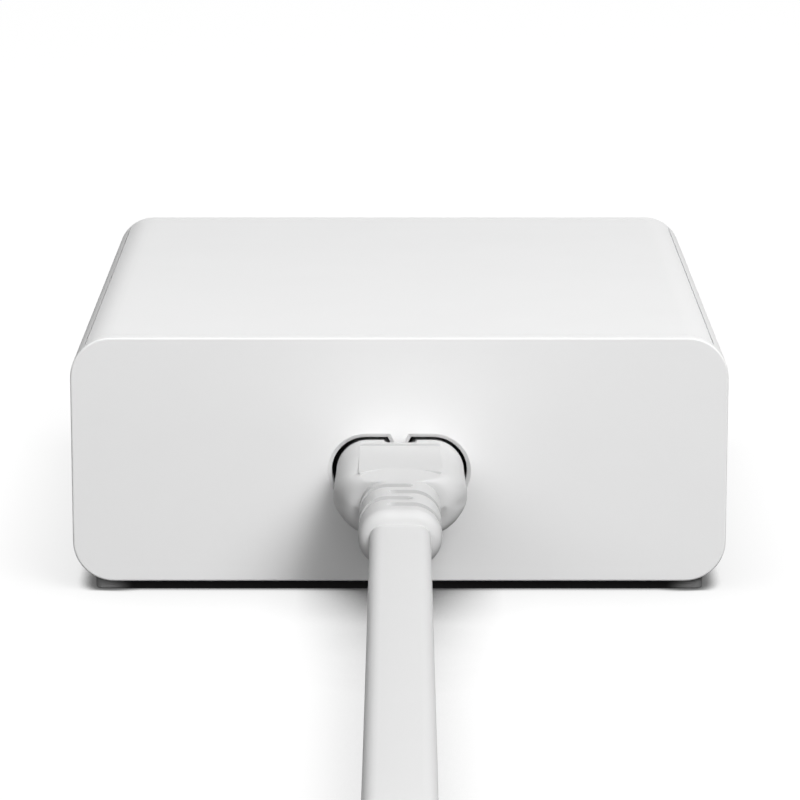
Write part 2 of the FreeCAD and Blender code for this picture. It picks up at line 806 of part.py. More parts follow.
def relief_groove(index):
    """Groove with a round end that wraps one side of the strain relief, left and right in turn."""
    y = relief_start_y - relief_groove_first - index * relief_groove_pitch
    side = -1 if index % 2 == 0 else 1
    half = relief_groove_width / 2
    outside = obround_bar(relief_width * 2, relief_thickness * 2, y - half, y + half, 0, inlet_z)
    inside = obround_bar(relief_width - 2 * relief_groove_depth, relief_thickness - 2 * relief_groove_depth,
                         y - half, y + half, 0, inlet_z)
    x_end = -side * (relief_groove_overlap - half)
    low_z = inlet_z - relief_thickness
    slot = box(min(x_end, side * relief_width), max(x_end, side * relief_width), y - half, y + half,
               low_z, inlet_z + relief_thickness)
    slot = slot.fuse(Part.makeCylinder(half, 2 * relief_thickness, Vector(x_end, y, low_z)))
    return outside.cut(inside).common(slot)


def sleeve_outer():
    """Outer diameter of a contact sleeve."""
    return pin_diameter + 2 * sleeve_clearance + 2 * sleeve_wall


def contact_sleeve(side):
    """Contact tube in the appliance plug, round one inlet pin."""
    high_y = inlet_floor_y - plug_nose_gap - sleeve_setback
    low_y = high_y - sleeve_length
    tube = pin_bar(side, sleeve_outer(), low_y, high_y)
    return tube.cut(pin_bar(side, pin_diameter + 2 * sleeve_clearance, low_y, high_y))


def route_wire(points, name):
    """Straight runs joined by tangent arcs as large as the runs allow; prints each arc's radius."""
    edges = []
    start = points[0]
    for before, corner, after in zip(points, points[1:], points[2:]):
        along_in = (corner - before).normalize()
        along_out = (after - corner).normalize()
        half_turn = along_in.getAngle(along_out) / 2
        reach = arc_share * min((corner - before).Length, (after - corner).Length)
        radius = reach / math.tan(half_turn)
        arc_start = corner - along_in * reach
        arc_end = corner + along_out * reach
        inward = (along_out - along_in).normalize()
        arc_middle = corner + inward * (radius / math.cos(half_turn) - radius)
        edges.append(Part.LineSegment(start, arc_start).toShape())
        edges.append(Part.Arc(arc_start, arc_middle, arc_end).toShape())
        print(name, "bend radius", round(radius, 1))
        start = arc_end
    edges.append(Part.LineSegment(start, points[-1]).toShape())
    return Part.Wire(edges)


def flat_section(point, along, turn):
    """Section of the flat lead: wide side level, then turned about its own line."""
    level = along.cross(Vector(0, 0, 1)).normalize()
    upward = level.cross(along).normalize()
    wide = level * math.cos(turn) + upward * math.sin(turn)
    thin = upward * math.cos(turn) - level * math.sin(turn)
    half_wide = cord_width / 2
    half_thin = cord_thickness / 2
    flat_wide = half_wide - cord_edge_radius
    flat_thin = half_thin - cord_edge_radius
    slant = cord_edge_radius * math.sqrt(0.5)

    def place(a, b):
        """Point of the section, a along its wide side and b along its thin side."""
        return point + wide * a + thin * b

    edges = []
    for side_a, side_b in ((1, 1), (-1, 1), (-1, -1), (1, -1)):
        on_end = place(side_a * half_wide, side_b * flat_thin)
        middle = place(side_a * (flat_wide + slant), side_b * (flat_thin + slant))
        on_face = place(side_a * flat_wide, side_b * half_thin)
        if side_a == side_b:
            edges.append(Part.Arc(on_end, middle, on_face).toShape())
            edges.append(Part.LineSegment(on_face, place(-side_a * flat_wide, side_b * half_thin)).toShape())
        else:
            edges.append(Part.Arc(on_face, middle, on_end).toShape())
            edges.append(Part.LineSegment(on_end, place(side_a * half_wide, -side_b * flat_thin)).toShape())
    return Part.Wire(edges)


def flat_tube(wire, turn_from, turn_to, name):
    """Flat lead along a route; it turns on edge between two shares of the route's length."""
    sections = []
    done = 0.0
    for edge in wire.OrderedEdges:
        straight = edge.Curve.TypeId == "Part::GeomLine"
        level = done + edge.Length <= turn_from * wire.Length
        steps = 1 if straight and level else max(1, math.ceil(edge.Length / loft_step))
        for index in range(steps):
            share = index / steps
            sections.append(section_on(edge, share, (done + share * edge.Length) / wire.Length,
                                       turn_from, turn_to))
        done += edge.Length
    sections.append(section_on(wire.OrderedEdges[-1], 1.0, 1.0, turn_from, turn_to))
    tube = Part.makeLoft(sections, True, True)
    area = Part.Face(sections[0]).Area
    print(name, "length", round(wire.Length, 1), "volume against section times length",
          round(tube.Volume / (area * wire.Length), 4))
    return tube


def section_on(edge, share, route_share, turn_from, turn_to):
    """Section of the lead at a share of one edge of its route."""
    parameter = edge.getParameterByLength(share * edge.Length)
    along = edge.tangentAt(parameter)
    if turn_to == turn_from:
        turned = 0.0
    else:
        turned = min(1.0, max(0.0, (route_share - turn_from) / (turn_to - turn_from)))
    return flat_section(edge.valueAt(parameter), along, math.pi / 2 * turned)


def cord_run():
    """Flat lead from the appliance plug, level at first, then down to the coil and on edge."""
    points = [Vector(0, cord_exit_y, inlet_z)]
    points += [Vector(x, rear_y - reach, z) for x, reach, z in lead_bends]
    wire = route_wire(points, "cord_run")
    level_share = (points[1] - points[0]).Length / wire.Length
    return flat_tube(wire, level_share, 1.0, "cord_run")


def cord_tail():
    """Flat lead that lies on the coil and runs off it to the wall plug."""
    points = [Vector(coil_x + x, coil_y + y, z) for x, y, z in tail_bends]
    return flat_tube(route_wire(points, "cord_tail"), 1.0, 1.0, "cord_tail")


def half_turn_radius(half_turn):
    """Radius of the lead's middle line on one half turn of the two-centre coil."""
    return coil_radius - half_turn * coil_pitch / 2


def coil_outline(first_half_turn, offset):
    """Outline of one whole turn of the coil, offset from the lead's middle line, closed by a step."""
    low_radius = half_turn_radius(first_half_turn) + offset
    high_radius = half_turn_radius(first_half_turn + 1) + offset
    shift = coil_pitch / 2
    left = Vector(coil_x - low_radius, coil_y, 0)
    right = Vector(coil_x + low_radius, coil_y, 0)
    end = Vector(coil_x + shift - high_radius, coil_y, 0)
    return Part.Wire([
        Part.Arc(left, Vector(coil_x, coil_y - low_radius, 0), right).toShape(),
        Part.Arc(right, Vector(coil_x + shift, coil_y + high_radius, 0), end).toShape(),
        Part.LineSegment(end, left).toShape(),
    ])


def cord_coil():
    """Outer shape of the coiled lead, with the step where the lead comes in and a groove for the tie."""
    half = cord_thickness / 2
    outer = Part.Face(coil_outline(0, half))
    inner = Part.Face(coil_outline(2 * coil_turns - 2, -half))
    coil = outer.cut(inner).extrude(Vector(0, 0, cord_width))
    return coil.cut(coil_tie())


def coil_tie():
    """Strap round the coil's turns, on the side towards the charger."""
    half = cord_thickness / 2
    outer = half_turn_radius(1) + half
    inner = half_turn_radius(2 * coil_turns - 1) - half
    centre = Vector(coil_x + coil_pitch / 2, coil_y, 0)
    height = cord_width + 2 * tie_thickness

    def collar(extra, z_low, z_high):
        """Ring round the turns, larger by extra all round."""
        start = centre + Vector(0, 0, z_low)
        solid = Part.makeCylinder(outer + extra, z_high - z_low, start)
        return solid.cut(Part.makeCylinder(inner - extra, z_high - z_low, start))

    strap = collar(tie_thickness, 0, height).cut(collar(0, tie_thickness, height - tie_thickness))
    reach = outer + tie_thickness
    return strap.common(box(centre.x - tie_width / 2, centre.x + tie_width / 2,
                            centre.y, centre.y + reach, 0, height))


def wall_plug_place():
    """Point where the lead enters the wall plug's strain relief."""
    x, y, z = tail_bends[-1]
    return Vector(coil_x + x, coil_y + y, z)


def wall_plug():
    """Moulded plug with two flat blades, lying on the floor beside the coil."""
    start = wall_plug_place()
    face_y = start.y + wall_relief_length
    back_y = face_y + wall_plug_length
    relief = obround_bar(wall_relief_width, wall_relief_thickness, start.y, face_y, start.x, start.z)
    neck = Part.makeLoft([
        obround_wire(wall_relief_width, wall_relief_thickness, start.x, face_y - wall_neck_length, start.z),
        obround_wire(wall_plug_width * wall_neck_share, wall_plug_thickness * wall_neck_share,
                     start.x, face_y, start.z),
    ], True, True)
    body = box(start.x - wall_plug_width / 2, start.x + wall_plug_width / 2, face_y, back_y,
               start.z - wall_plug_thickness / 2, start.z + wall_plug_thickness / 2)
    body = body.makeFillet(wall_plug_round, straight_edges(body, Vector(0, 1, 0)))
    body = body.makeChamfer(wall_plug_round / 3, edges_at(body, "Y", face_y))
    body = body.fuse([relief, neck]).removeSplitter()
    for side in (-1, 1):
        body = body.cut(blade_bar(side, back_y - blade_root, back_y))
    return body


def blade_bar(side, y_low, y_high):
    """Flat bar on the line of one blade."""
    start = wall_plug_place()
    x = start.x + side * blade_spacing / 2
    return box(x - blade_thickness / 2, x + blade_thickness / 2, y_low, y_high,
               start.z - blade_width / 2, start.z + blade_width / 2)


def plug_blade(side):
    """Flat blade with bevelled tip and a round hole."""
    face_y = wall_plug_place().y + wall_relief_length + wall_plug_length
    tip_y = face_y + blade_length
    blade = blade_bar(side, face_y - blade_root, tip_y)
    blade = blade.makeChamfer(blade_thickness / 3, edges_at(blade, "Y", tip_y))
    x = wall_plug_place().x + side * blade_spacing / 2 - blade_thickness / 2
    hole_start = Vector(x, tip_y - blade_hole_from_tip, wall_plug_place().z)
    return blade.cut(Part.makeCylinder(blade_hole / 2, blade_thickness, hole_start, Vector(1, 0, 0)))


def all_nodes():
    """Every piece by its node's name."""
    places = port_places()
    transformer = (transformer_width, transformer_height, transformer_x, magnetic_row_y)
    boost = (boost_width, boost_height, boost_x, magnetic_row_y)
    nodes = {
        "housing_tub": housing_tub(),
        "top_lid": top_lid(),
        "port_panel": port_panel(),
        "base_pad": base_pad(),
        "inlet_block": inlet_block(),
        "main_board": main_board(),
        "port_board": port_board(),
        "board_header": board_header(),
        "insulating_film": insulating_film(),
        "fuse": fuse_block(),
        "x_capacitor": x_capacitor(),
        "bridge_rectifier": bridge_rectifier(),
        "choke_core": choke_core(),
        "choke_winding": choke_winding(),
        "bulk_capacitor_1": can(bulk_diameter, bulk_height, bulk_1_x, filter_row_y),
        "bulk_capacitor_2": can(bulk_diameter, bulk_height, bulk_2_x, filter_row_y),
        "transformer_core": shell_core(*transformer),
        "transformer_winding": core_winding(*transformer),
        "boost_core": shell_core(*boost),
        "boost_winding": core_winding(*boost),
        "heat_spreader": heat_spreader(),
        "power_switches": power_switches(),
        "output_capacitors": output_capacitors(),
        "appliance_plug": appliance_plug(),
        "cord_run": cord_run(),
        "cord_coil": cord_coil(),
        "cord_tail": cord_tail(),
        "coil_tie": coil_tie(),
        "wall_plug": wall_plug(),
    }
    for number, x in enumerate(places[:usb_c_count], start=1):
        nodes[f"usb_c_shell_{number}"] = usb_c_shell(x)
        nodes[f"usb_c_tongue_{number}"] = usb_c_tongue(x)
    for number, x in enumerate(places[usb_c_count:], start=1):
        nodes[f"usb_a_shell_{number}"] = usb_a_shell(x)
        nodes[f"usb_a_tongue_{number}"] = usb_a_tongue(x)
    for side, word in ((-1, "left"), (1, "right")):
        nodes[f"inlet_pin_{word}"] = inlet_pin(side)
        nodes[f"contact_sleeve_{word}"] = contact_sleeve(side)
        nodes[f"plug_blade_{word}"] = plug_blade(side)
    return nodes


os.makedirs("parts", exist_ok=True)
for node_name, node_shape in all_nodes().items():
    node_shape.exportStep(f"parts/{node_name}.step")
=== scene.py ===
"""White desktop USB charger with its flat mains lead, dressed for a studio picture.

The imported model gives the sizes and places. Lengths are in metres where nothing else is said, and places are
in the frame of that model: the ports face +Y, the mains inlet faces -Y, and the camera looks at the inlet.
"""
import json
import logging
import math
from collections.abc import Callable
from dataclasses import dataclass, field
from enum import Enum

import bmesh
import bpy
from mathutils import Matrix, Vector


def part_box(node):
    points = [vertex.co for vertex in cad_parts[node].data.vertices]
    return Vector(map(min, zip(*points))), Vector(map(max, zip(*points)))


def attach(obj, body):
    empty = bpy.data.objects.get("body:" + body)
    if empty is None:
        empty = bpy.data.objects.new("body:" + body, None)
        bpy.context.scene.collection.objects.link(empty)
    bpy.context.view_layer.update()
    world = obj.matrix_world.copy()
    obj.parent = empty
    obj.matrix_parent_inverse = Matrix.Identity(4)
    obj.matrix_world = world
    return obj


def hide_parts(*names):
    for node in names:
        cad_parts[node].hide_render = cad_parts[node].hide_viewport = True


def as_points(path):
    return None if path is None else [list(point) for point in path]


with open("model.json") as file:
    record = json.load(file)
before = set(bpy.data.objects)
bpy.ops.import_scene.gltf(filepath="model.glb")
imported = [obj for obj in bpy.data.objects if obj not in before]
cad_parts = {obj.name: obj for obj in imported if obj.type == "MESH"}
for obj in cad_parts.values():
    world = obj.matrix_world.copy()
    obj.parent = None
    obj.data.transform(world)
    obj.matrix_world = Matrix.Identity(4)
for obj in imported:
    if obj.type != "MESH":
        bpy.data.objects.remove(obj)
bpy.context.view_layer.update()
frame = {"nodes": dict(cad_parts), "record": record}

BODY = "root"
MM = 0.001
# Mesh attribute that marks where shade is painted into the moulded plastic's colour
PAINTED_SHADE = "painted_shade"
WHOLE = (0.0, 1.0)  # ends of a share's range
MERGE = 0.0005 * MM  # points nearer than this are one
TINY = 1e-9  # keeps a divisor from being 0
FAR = 1.0  # further than any piece reaches
WAVE_PERIOD = math.pi / 10  # of a wave texture of scale 1
LOG = logging.getLogger("charger")

Colour = tuple[float, float, float]
Socket = bpy.types.NodeSocket
Tree = bpy.types.NodeTree


def grey(level: float) -> Colour:
    """Neutral colour of one level."""
    return (level, level, level)


def reckoned(tree: Tree, operation: str, first: Socket, second: Socket | float) -> Socket:
    """Join a value with another one, or with a fixed number, by a calculation.

    Args:
        tree: Node tree to add the calculation to.
        operation: Name of the calculation.
        first: Value that comes first.
        second: Value or number that comes second.

    Returns:
        The result's socket.
    """
    node = tree.nodes.new("ShaderNodeMath")
    node.operation = operation
    tree.links.new(first, node.inputs[0])
    if isinstance(second, float):
        node.inputs[1].default_value = second
    else:
        tree.links.new(second, node.inputs[1])
    return node.outputs["Value"]


def ranged(tree: Tree, value: Socket, before: tuple[float, float], after: tuple[float, float],
           curve: str = "LINEAR") -> Socket:
    """Take a value from one range to another, and hold it at the ends.

    Args:
        tree: Node tree to add the step to.
        value: Value to take over.
        before: Ends of the first range.
        after: Ends of the second range.
        curve: How the value runs between the ends.

    Returns:
        The result's socket.
    """
    node = tree.nodes.new("ShaderNodeMapRange")
    node.interpolation_type = curve
    for name, number in zip(("From Min", "From Max", "To Min", "To Max"), before + after):
        node.inputs[name].default_value = number
    tree.links.new(value, node.inputs["Value"])
    return node.outputs["Result"]


def blended(tree: Tree, first: Socket | Colour, second: Colour, share: Socket) -> Socket:
    """Mix a colour with a second one.

    Args:
        tree: Node tree to add the mix to.
        first: Colour where the share is 0.
        second: Colour where the share is 1.
        share: Share of the second colour.

    Returns:
        The colour socket.
    """
    node = tree.nodes.new("ShaderNodeMix")
    node.data_type = "RGBA"
    if isinstance(first, tuple):
        node.inputs["A"].default_value = (*first, 1.0)
    else:
        tree.links.new(first, node.inputs["A"])
    node.inputs["B"].default_value = (*second, 1.0)
    tree.links.new(share, node.inputs["Factor"])
    return node.outputs["Result"]


class Pattern(Enum):
    """Layout of the fine relief on a finish."""

    GRAIN = "grain"
    DRAWN = "drawn"
    TURNS = "turns"
    WEAVE = "weave"


@dataclass(frozen=True)
class Finish:
    """Look of one material slot: its tones, its gloss and its fine relief.

    Attributes:
        slot: Name of the finish, which is a material slot of the record or the look of some pieces in one.
        tone: Main colour, linear.
        drift: Second colour, which the main one drifts to in soft clouds.
        gloss: Lowest and highest roughness.
        relief: Depth of the fine relief.
        pitch: Size of one grain, line or turn of the relief.
        pattern: Layout of the relief.
        metallic: 1 for bare metal, 0 for the rest.
        cloud: Size of the clouds of colour.
        stretch: How much the relief is drawn out along each axis.
        see_through: Share of the light that passes through.
        sheen: Strength of the mirror-like share of the light.
        cloud_layers: Number of finer layers in the clouds of colour.
        relief_layers: Number of finer layers in the grain of the relief.
        waver: How much the lines of the relief waver.
    """

    slot: str
    tone: Colour
    drift: Colour
    gloss: tuple[float, float]
    relief: float = 0.004 * MM
    pitch: float = 0.25 * MM
    pattern: Pattern = Pattern.GRAIN
    metallic: float = 0.0
    cloud: float = 12 * MM
    stretch: tuple[float, float, float] = (1.0, 1.0, 1.0)
    see_through: float = 0.0
    sheen: float = 0.5
    cloud_layers: float = 2.0
    relief_layers: float = 3.0
    waver: float = 0.6

    def material(self) -> bpy.types.Material:
        """Build the node material.

        Returns:
            The material, with colour, roughness and relief from its nodes.
        """
        made = bpy.data.materials.new(self.slot)
        made.use_nodes = True
        made.diffuse_color = (*self.tone, 1.0)
        tree = made.node_tree
        shader = tree.nodes["Principled BSDF"]
        shader.inputs["Metallic"].default_value = self.metallic
        shader.inputs["Transmission Weight"].default_value = self.see_through
        shader.inputs["Specular IOR Level"].default_value = self.sheen
        place = tree.nodes.new("ShaderNodeTexCoord").outputs["Object"]
        tree.links.new(self._colour(tree, place), shader.inputs["Base Color"])
        height = self._relief(tree, place)
        tree.links.new(ranged(tree, height, WHOLE, self.gloss), shader.inputs["Roughness"])
        bump = tree.nodes.new("ShaderNodeBump")
        bump.inputs["Strength"].default_value = 1.0
        bump.inputs["Distance"].default_value = self.relief
        tree.links.new(height, bump.inputs["Height"])
        tree.links.new(bump.outputs["Normal"], shader.inputs["Normal"])
        return made

    def _colour(self, tree: Tree, place: Socket) -> Socket:
        """Let the colour drift between the two tones in soft clouds.

        Args:
            tree: Node tree of the material.
            place: Coordinates that the clouds read.

        Returns:
            The colour socket.
        """
        return blended(tree, self.tone, self.drift, self._noise(tree, place, self.cloud, self.cloud_layers))

    def _noise(self, tree: Tree, place: Socket, size: float, detail: float) -> Socket:
        """Add a noise texture.

        Args:
            tree: Node tree of the material.
            place: Coordinates that the noise reads.
            size: Size of one cloud or grain.
            detail: Number of finer layers.

        Returns:
            The noise's value socket.
        """
        noise = tree.nodes.new("ShaderNodeTexNoise")
        noise.inputs["Scale"].default_value = 1.0 / size
        noise.inputs["Detail"].default_value = detail
        tree.links.new(place, noise.inputs["Vector"])
        return noise.outputs["Fac"]

    def _relief(self, tree: Tree, place: Socket) -> Socket:
        """Add the texture of the fine relief.

        Args:
            tree: Node tree of the material.
            place: Coordinates that the texture reads.

        Returns:
            The relief's height socket.
        """
        mapping = tree.nodes.new("ShaderNodeMapping")
        mapping.inputs["Scale"].default_value = tuple(1.0 / reach for reach in self.stretch)
        tree.links.new(place, mapping.inputs["Vector"])
        drawn = mapping.outputs["Vector"]
        if self.pattern in (Pattern.GRAIN, Pattern.DRAWN):
            return self._noise(tree, drawn, self.pitch, self.relief_layers)
        bands = tree.nodes.new("ShaderNodeTexWave")
        bands.bands_direction = "DIAGONAL" if self.pattern is Pattern.WEAVE else "Y"
        bands.inputs["Scale"].default_value = WAVE_PERIOD / self.pitch
        bands.inputs["Distortion"].default_value = self.waver
        tree.links.new(drawn, bands.inputs["Vector"])
        return bands.outputs["Fac"]


@dataclass(frozen=True)
class MouldedFinish(Finish):
    """Soft plastic with painted shade: its colour darkens where its mesh is marked, in the appliance plug's
    grooves and creases.

    Attributes:
        shade: Colour of the painted shade where the mesh is marked.
    """

    shade: Colour = grey(0.54)

    def _colour(self, tree: Tree, place: Socket) -> Socket:
        """Darken the drifting colour where the mesh is marked, as painted shade.

        Args:
            tree: Node tree of the material.
            place: Coordinates that the clouds read.

        Returns:
            The colour socket.
        """
        # Painted shade: where the mesh is marked, the colour turns to the darker one
        painted_shade = tree.nodes.new("ShaderNodeAttribute")
        painted_shade.attribute_name = PAINTED_SHADE
        return blended(tree, super()._colour(tree, place), self.shade, painted_shade.outputs["Fac"])


@dataclass(frozen=True)
class PadFinish(Finish):
    """Black rubber with painted light towards its two ends across X, under the body's rounded corners.

    Attributes:
        pale: Colour of the painted light at the ends.
        fade: Distances from the middle between which the painted light grows.
    """

    pale: Colour = grey(0.24)
    fade: tuple[float, float] = (34.0 * MM, 37.4 * MM)

    def _colour(self, tree: Tree, place: Socket) -> Socket:
        """Pale the drifting colour towards the ends, as painted light.

        Args:
            tree: Node tree of the material.
            place: Coordinates that the colour reads.

        Returns:
            The colour socket.
        """
        # Painted light: the colour pales with the distance from the middle across X
        split = tree.nodes.new("ShaderNodeSeparateXYZ")
        tree.links.new(place, split.inputs["Vector"])
        away = reckoned(tree, "ABSOLUTE", split.outputs["X"], 0.0)
        share = ranged(tree, away, self.fade, WHOLE, "SMOOTHSTEP")
        return blended(tree, super()._colour(tree, place), self.pale, share)


FINISHES = (
    Finish("housing_white", grey(0.865), grey(0.845), (0.42, 0.52), sheen=0.12),
    Finish("lead_white", grey(0.68), grey(0.665), (0.46, 0.58), pitch=0.35 * MM),
    # The moulded plastic carries painted shade in the appliance plug's grooves and creases
    MouldedFinish("moulded_white", grey(0.66), grey(0.645), (0.5, 0.62), pitch=0.3 * MM,
                  sheen=0.15),
    # The pad's paler ends are painted light
    PadFinish("pad_black", grey(0.004), grey(0.008), (0.75, 0.9), relief=0.02 * MM,
              pitch=0.5 * MM, sheen=0.1),
    Finish("insulator_black", grey(0.02), grey(0.03), (0.4, 0.55)),
    Finish("insulator_white", (0.72, 0.71, 0.68), (0.66, 0.65, 0.62), (0.4, 0.55)),
    Finish("contact_nickel", (0.62, 0.60, 0.57), (0.55, 0.53, 0.50), (0.22, 0.34), metallic=1.0,
           pattern=Pattern.DRAWN, stretch=(1.0, 12.0, 1.0)),
    Finish("contact_brass", (0.72, 0.52, 0.24), (0.62, 0.43, 0.18), (0.22, 0.36), metallic=1.0,
           pattern=Pattern.DRAWN, stretch=(1.0, 12.0, 1.0)),
    Finish("shell_steel", (0.58, 0.58, 0.59), (0.5, 0.5, 0.51), (0.2, 0.32), metallic=1.0,
           pattern=Pattern.DRAWN, stretch=(1.0, 14.0, 1.0)),
    Finish("board_green", (0.02, 0.12, 0.05), (0.03, 0.17, 0.07), (0.25, 0.4), pattern=Pattern.WEAVE,
           pitch=0.5 * MM, relief=0.01 * MM),
    Finish("film_clear", (0.78, 0.8, 0.8), (0.7, 0.72, 0.72), (0.15, 0.25), see_through=0.6),
    Finish("fuse_brown", (0.12, 0.06, 0.03), (0.16, 0.08, 0.04), (0.35, 0.5)),
    Finish("film_yellow", (0.75, 0.55, 0.08), (0.68, 0.48, 0.06), (0.3, 0.45)),
    Finish("package_black", (0.015, 0.015, 0.017), grey(0.03), (0.45, 0.62)),
    Finish("ferrite_grey", (0.05, 0.05, 0.055), (0.08, 0.08, 0.085), (0.5, 0.7), relief=0.02 * MM),
    Finish("winding_copper", (0.68, 0.28, 0.11), (0.55, 0.2, 0.07), (0.25, 0.38), metallic=1.0,
           pattern=Pattern.TURNS, pitch=0.8 * MM, relief=0.2 * MM),
    Finish("winding_tape", (0.72, 0.5, 0.1), (0.66, 0.44, 0.07), (0.3, 0.42), pattern=Pattern.TURNS,
           pitch=6 * MM, relief=0.04 * MM),
    Finish("can_sleeve", (0.03, 0.04, 0.09), (0.045, 0.055, 0.12), (0.2, 0.32)),
    Finish("spreader_metal", (0.66, 0.66, 0.67), (0.58, 0.58, 0.59), (0.3, 0.45), metallic=1.0,
           pattern=Pattern.DRAWN, stretch=(1.0, 1.0, 14.0)),
    Finish("tie_grey", (0.22, 0.22, 0.23), (0.3, 0.3, 0.31), (0.8, 0.95), pattern=Pattern.WEAVE,
           pitch=0.6 * MM, relief=0.12 * MM),
)
MATERIALS = {finish.slot: finish.material() for finish in FINISHES}


def wrapped_grid(columns: int, rows: int, place: Callable[[int, int], Vector]) -> bmesh.types.BMesh:
    """Close a grid into a tube and cap its two ends.

    Args:
        columns: Number of points round the tube.
        rows: Number of points along the tube.
        place: Gives the place of the point in a column and a row.

    Returns:
        The closed mesh, with a UV map that runs round and along the tube.
    """
    grid = bmesh.new()
    grid.loops.layers.uv.new("surface")
    made = bmesh.ops.create_grid(grid, x_segments=columns, y_segments=rows - 1, size=0.5, calc_uvs=True)
    for index, vert in enumerate(made["verts"]):
        row, column = divmod(index, columns + 1)
        vert.co = place(column % columns, row)
    bmesh.ops.remove_doubles(grid, verts=grid.verts, dist=MERGE)
    rims = [edge for edge in grid.edges if edge.is_boundary]
    bmesh.ops.holes_fill(grid, edges=rims, sides=0)
    bmesh.ops.recalc_face_normals(grid, faces=grid.faces)
    return grid


def finished_piece(name: str, mesh: bmesh.types.BMesh, slot: str, look: str = "",
                   sharp_from: float = 40.0) -> bpy.types.Object:
    """Turn a mesh into a piece of the charger with its finish on.

    Args:
        name: Name of the piece.
        mesh: Shape of the piece, in place. It is freed here.
        slot: Material slot that the piece belongs to.
        look: Finish to wear, where it isn't the slot's own.
        sharp_from: Angle in degrees from which an edge stays sharp.

    Returns:
        The object, which rides on the charger's body.
    """
    for face in mesh.faces:
        face.smooth = True
    for edge in mesh.edges:
        edge.smooth = edge.calc_face_angle(0.0) < math.radians(sharp_from)
    data = bpy.data.meshes.new(name)
    mesh.to_mesh(data)
    mesh.free()
    data.materials.append(MATERIALS[look or slot])
    piece = bpy.data.objects.new(name, data)
    bpy.context.scene.collection.objects.link(piece)
    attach(piece, BODY)
    LOG.info("%s: %d faces, finish %s", name, len(data.polygons), look or slot)
    return piece


def smooth_step(value: float, start: float, end: float) -> float:
    """Ease from 0 at start to 1 at end.

    Args:
        value: Where to read the ease.
        start: Value up to which the result is 0.
        end: Value from which the result is 1.

    Returns:
        The eased share, from 0 to 1.
    """
    share = min(1.0, max(0.0, (value - start) / (end - start)))
    return share * share * (3 - 2 * share)


def rounded_outline(half_width: float, half_height: float, radius: float,
                    steps: int) -> list[tuple[float, float]]:
    """Outline of a rectangle with round corners, anticlockwise.

    Args:
        half_width: Half of the outline's width.
        half_height: Half of the outline's height.
        radius: Radius of the corners.
        steps: Number of steps in each corner.

    Returns:
        The points as pairs of width and height.
    """
    points = []
    for quarter, (side, level) in enumerate(((1, 1), (-1, 1), (-1, -1), (1, -1))):
        for step in range(steps + 1):
            angle = math.pi / 2 * (quarter + step / steps)
            points.append((side * (half_width - radius) + radius * math.cos(angle),
                           level * (half_height - radius) + radius * math.sin(angle)))
    return points


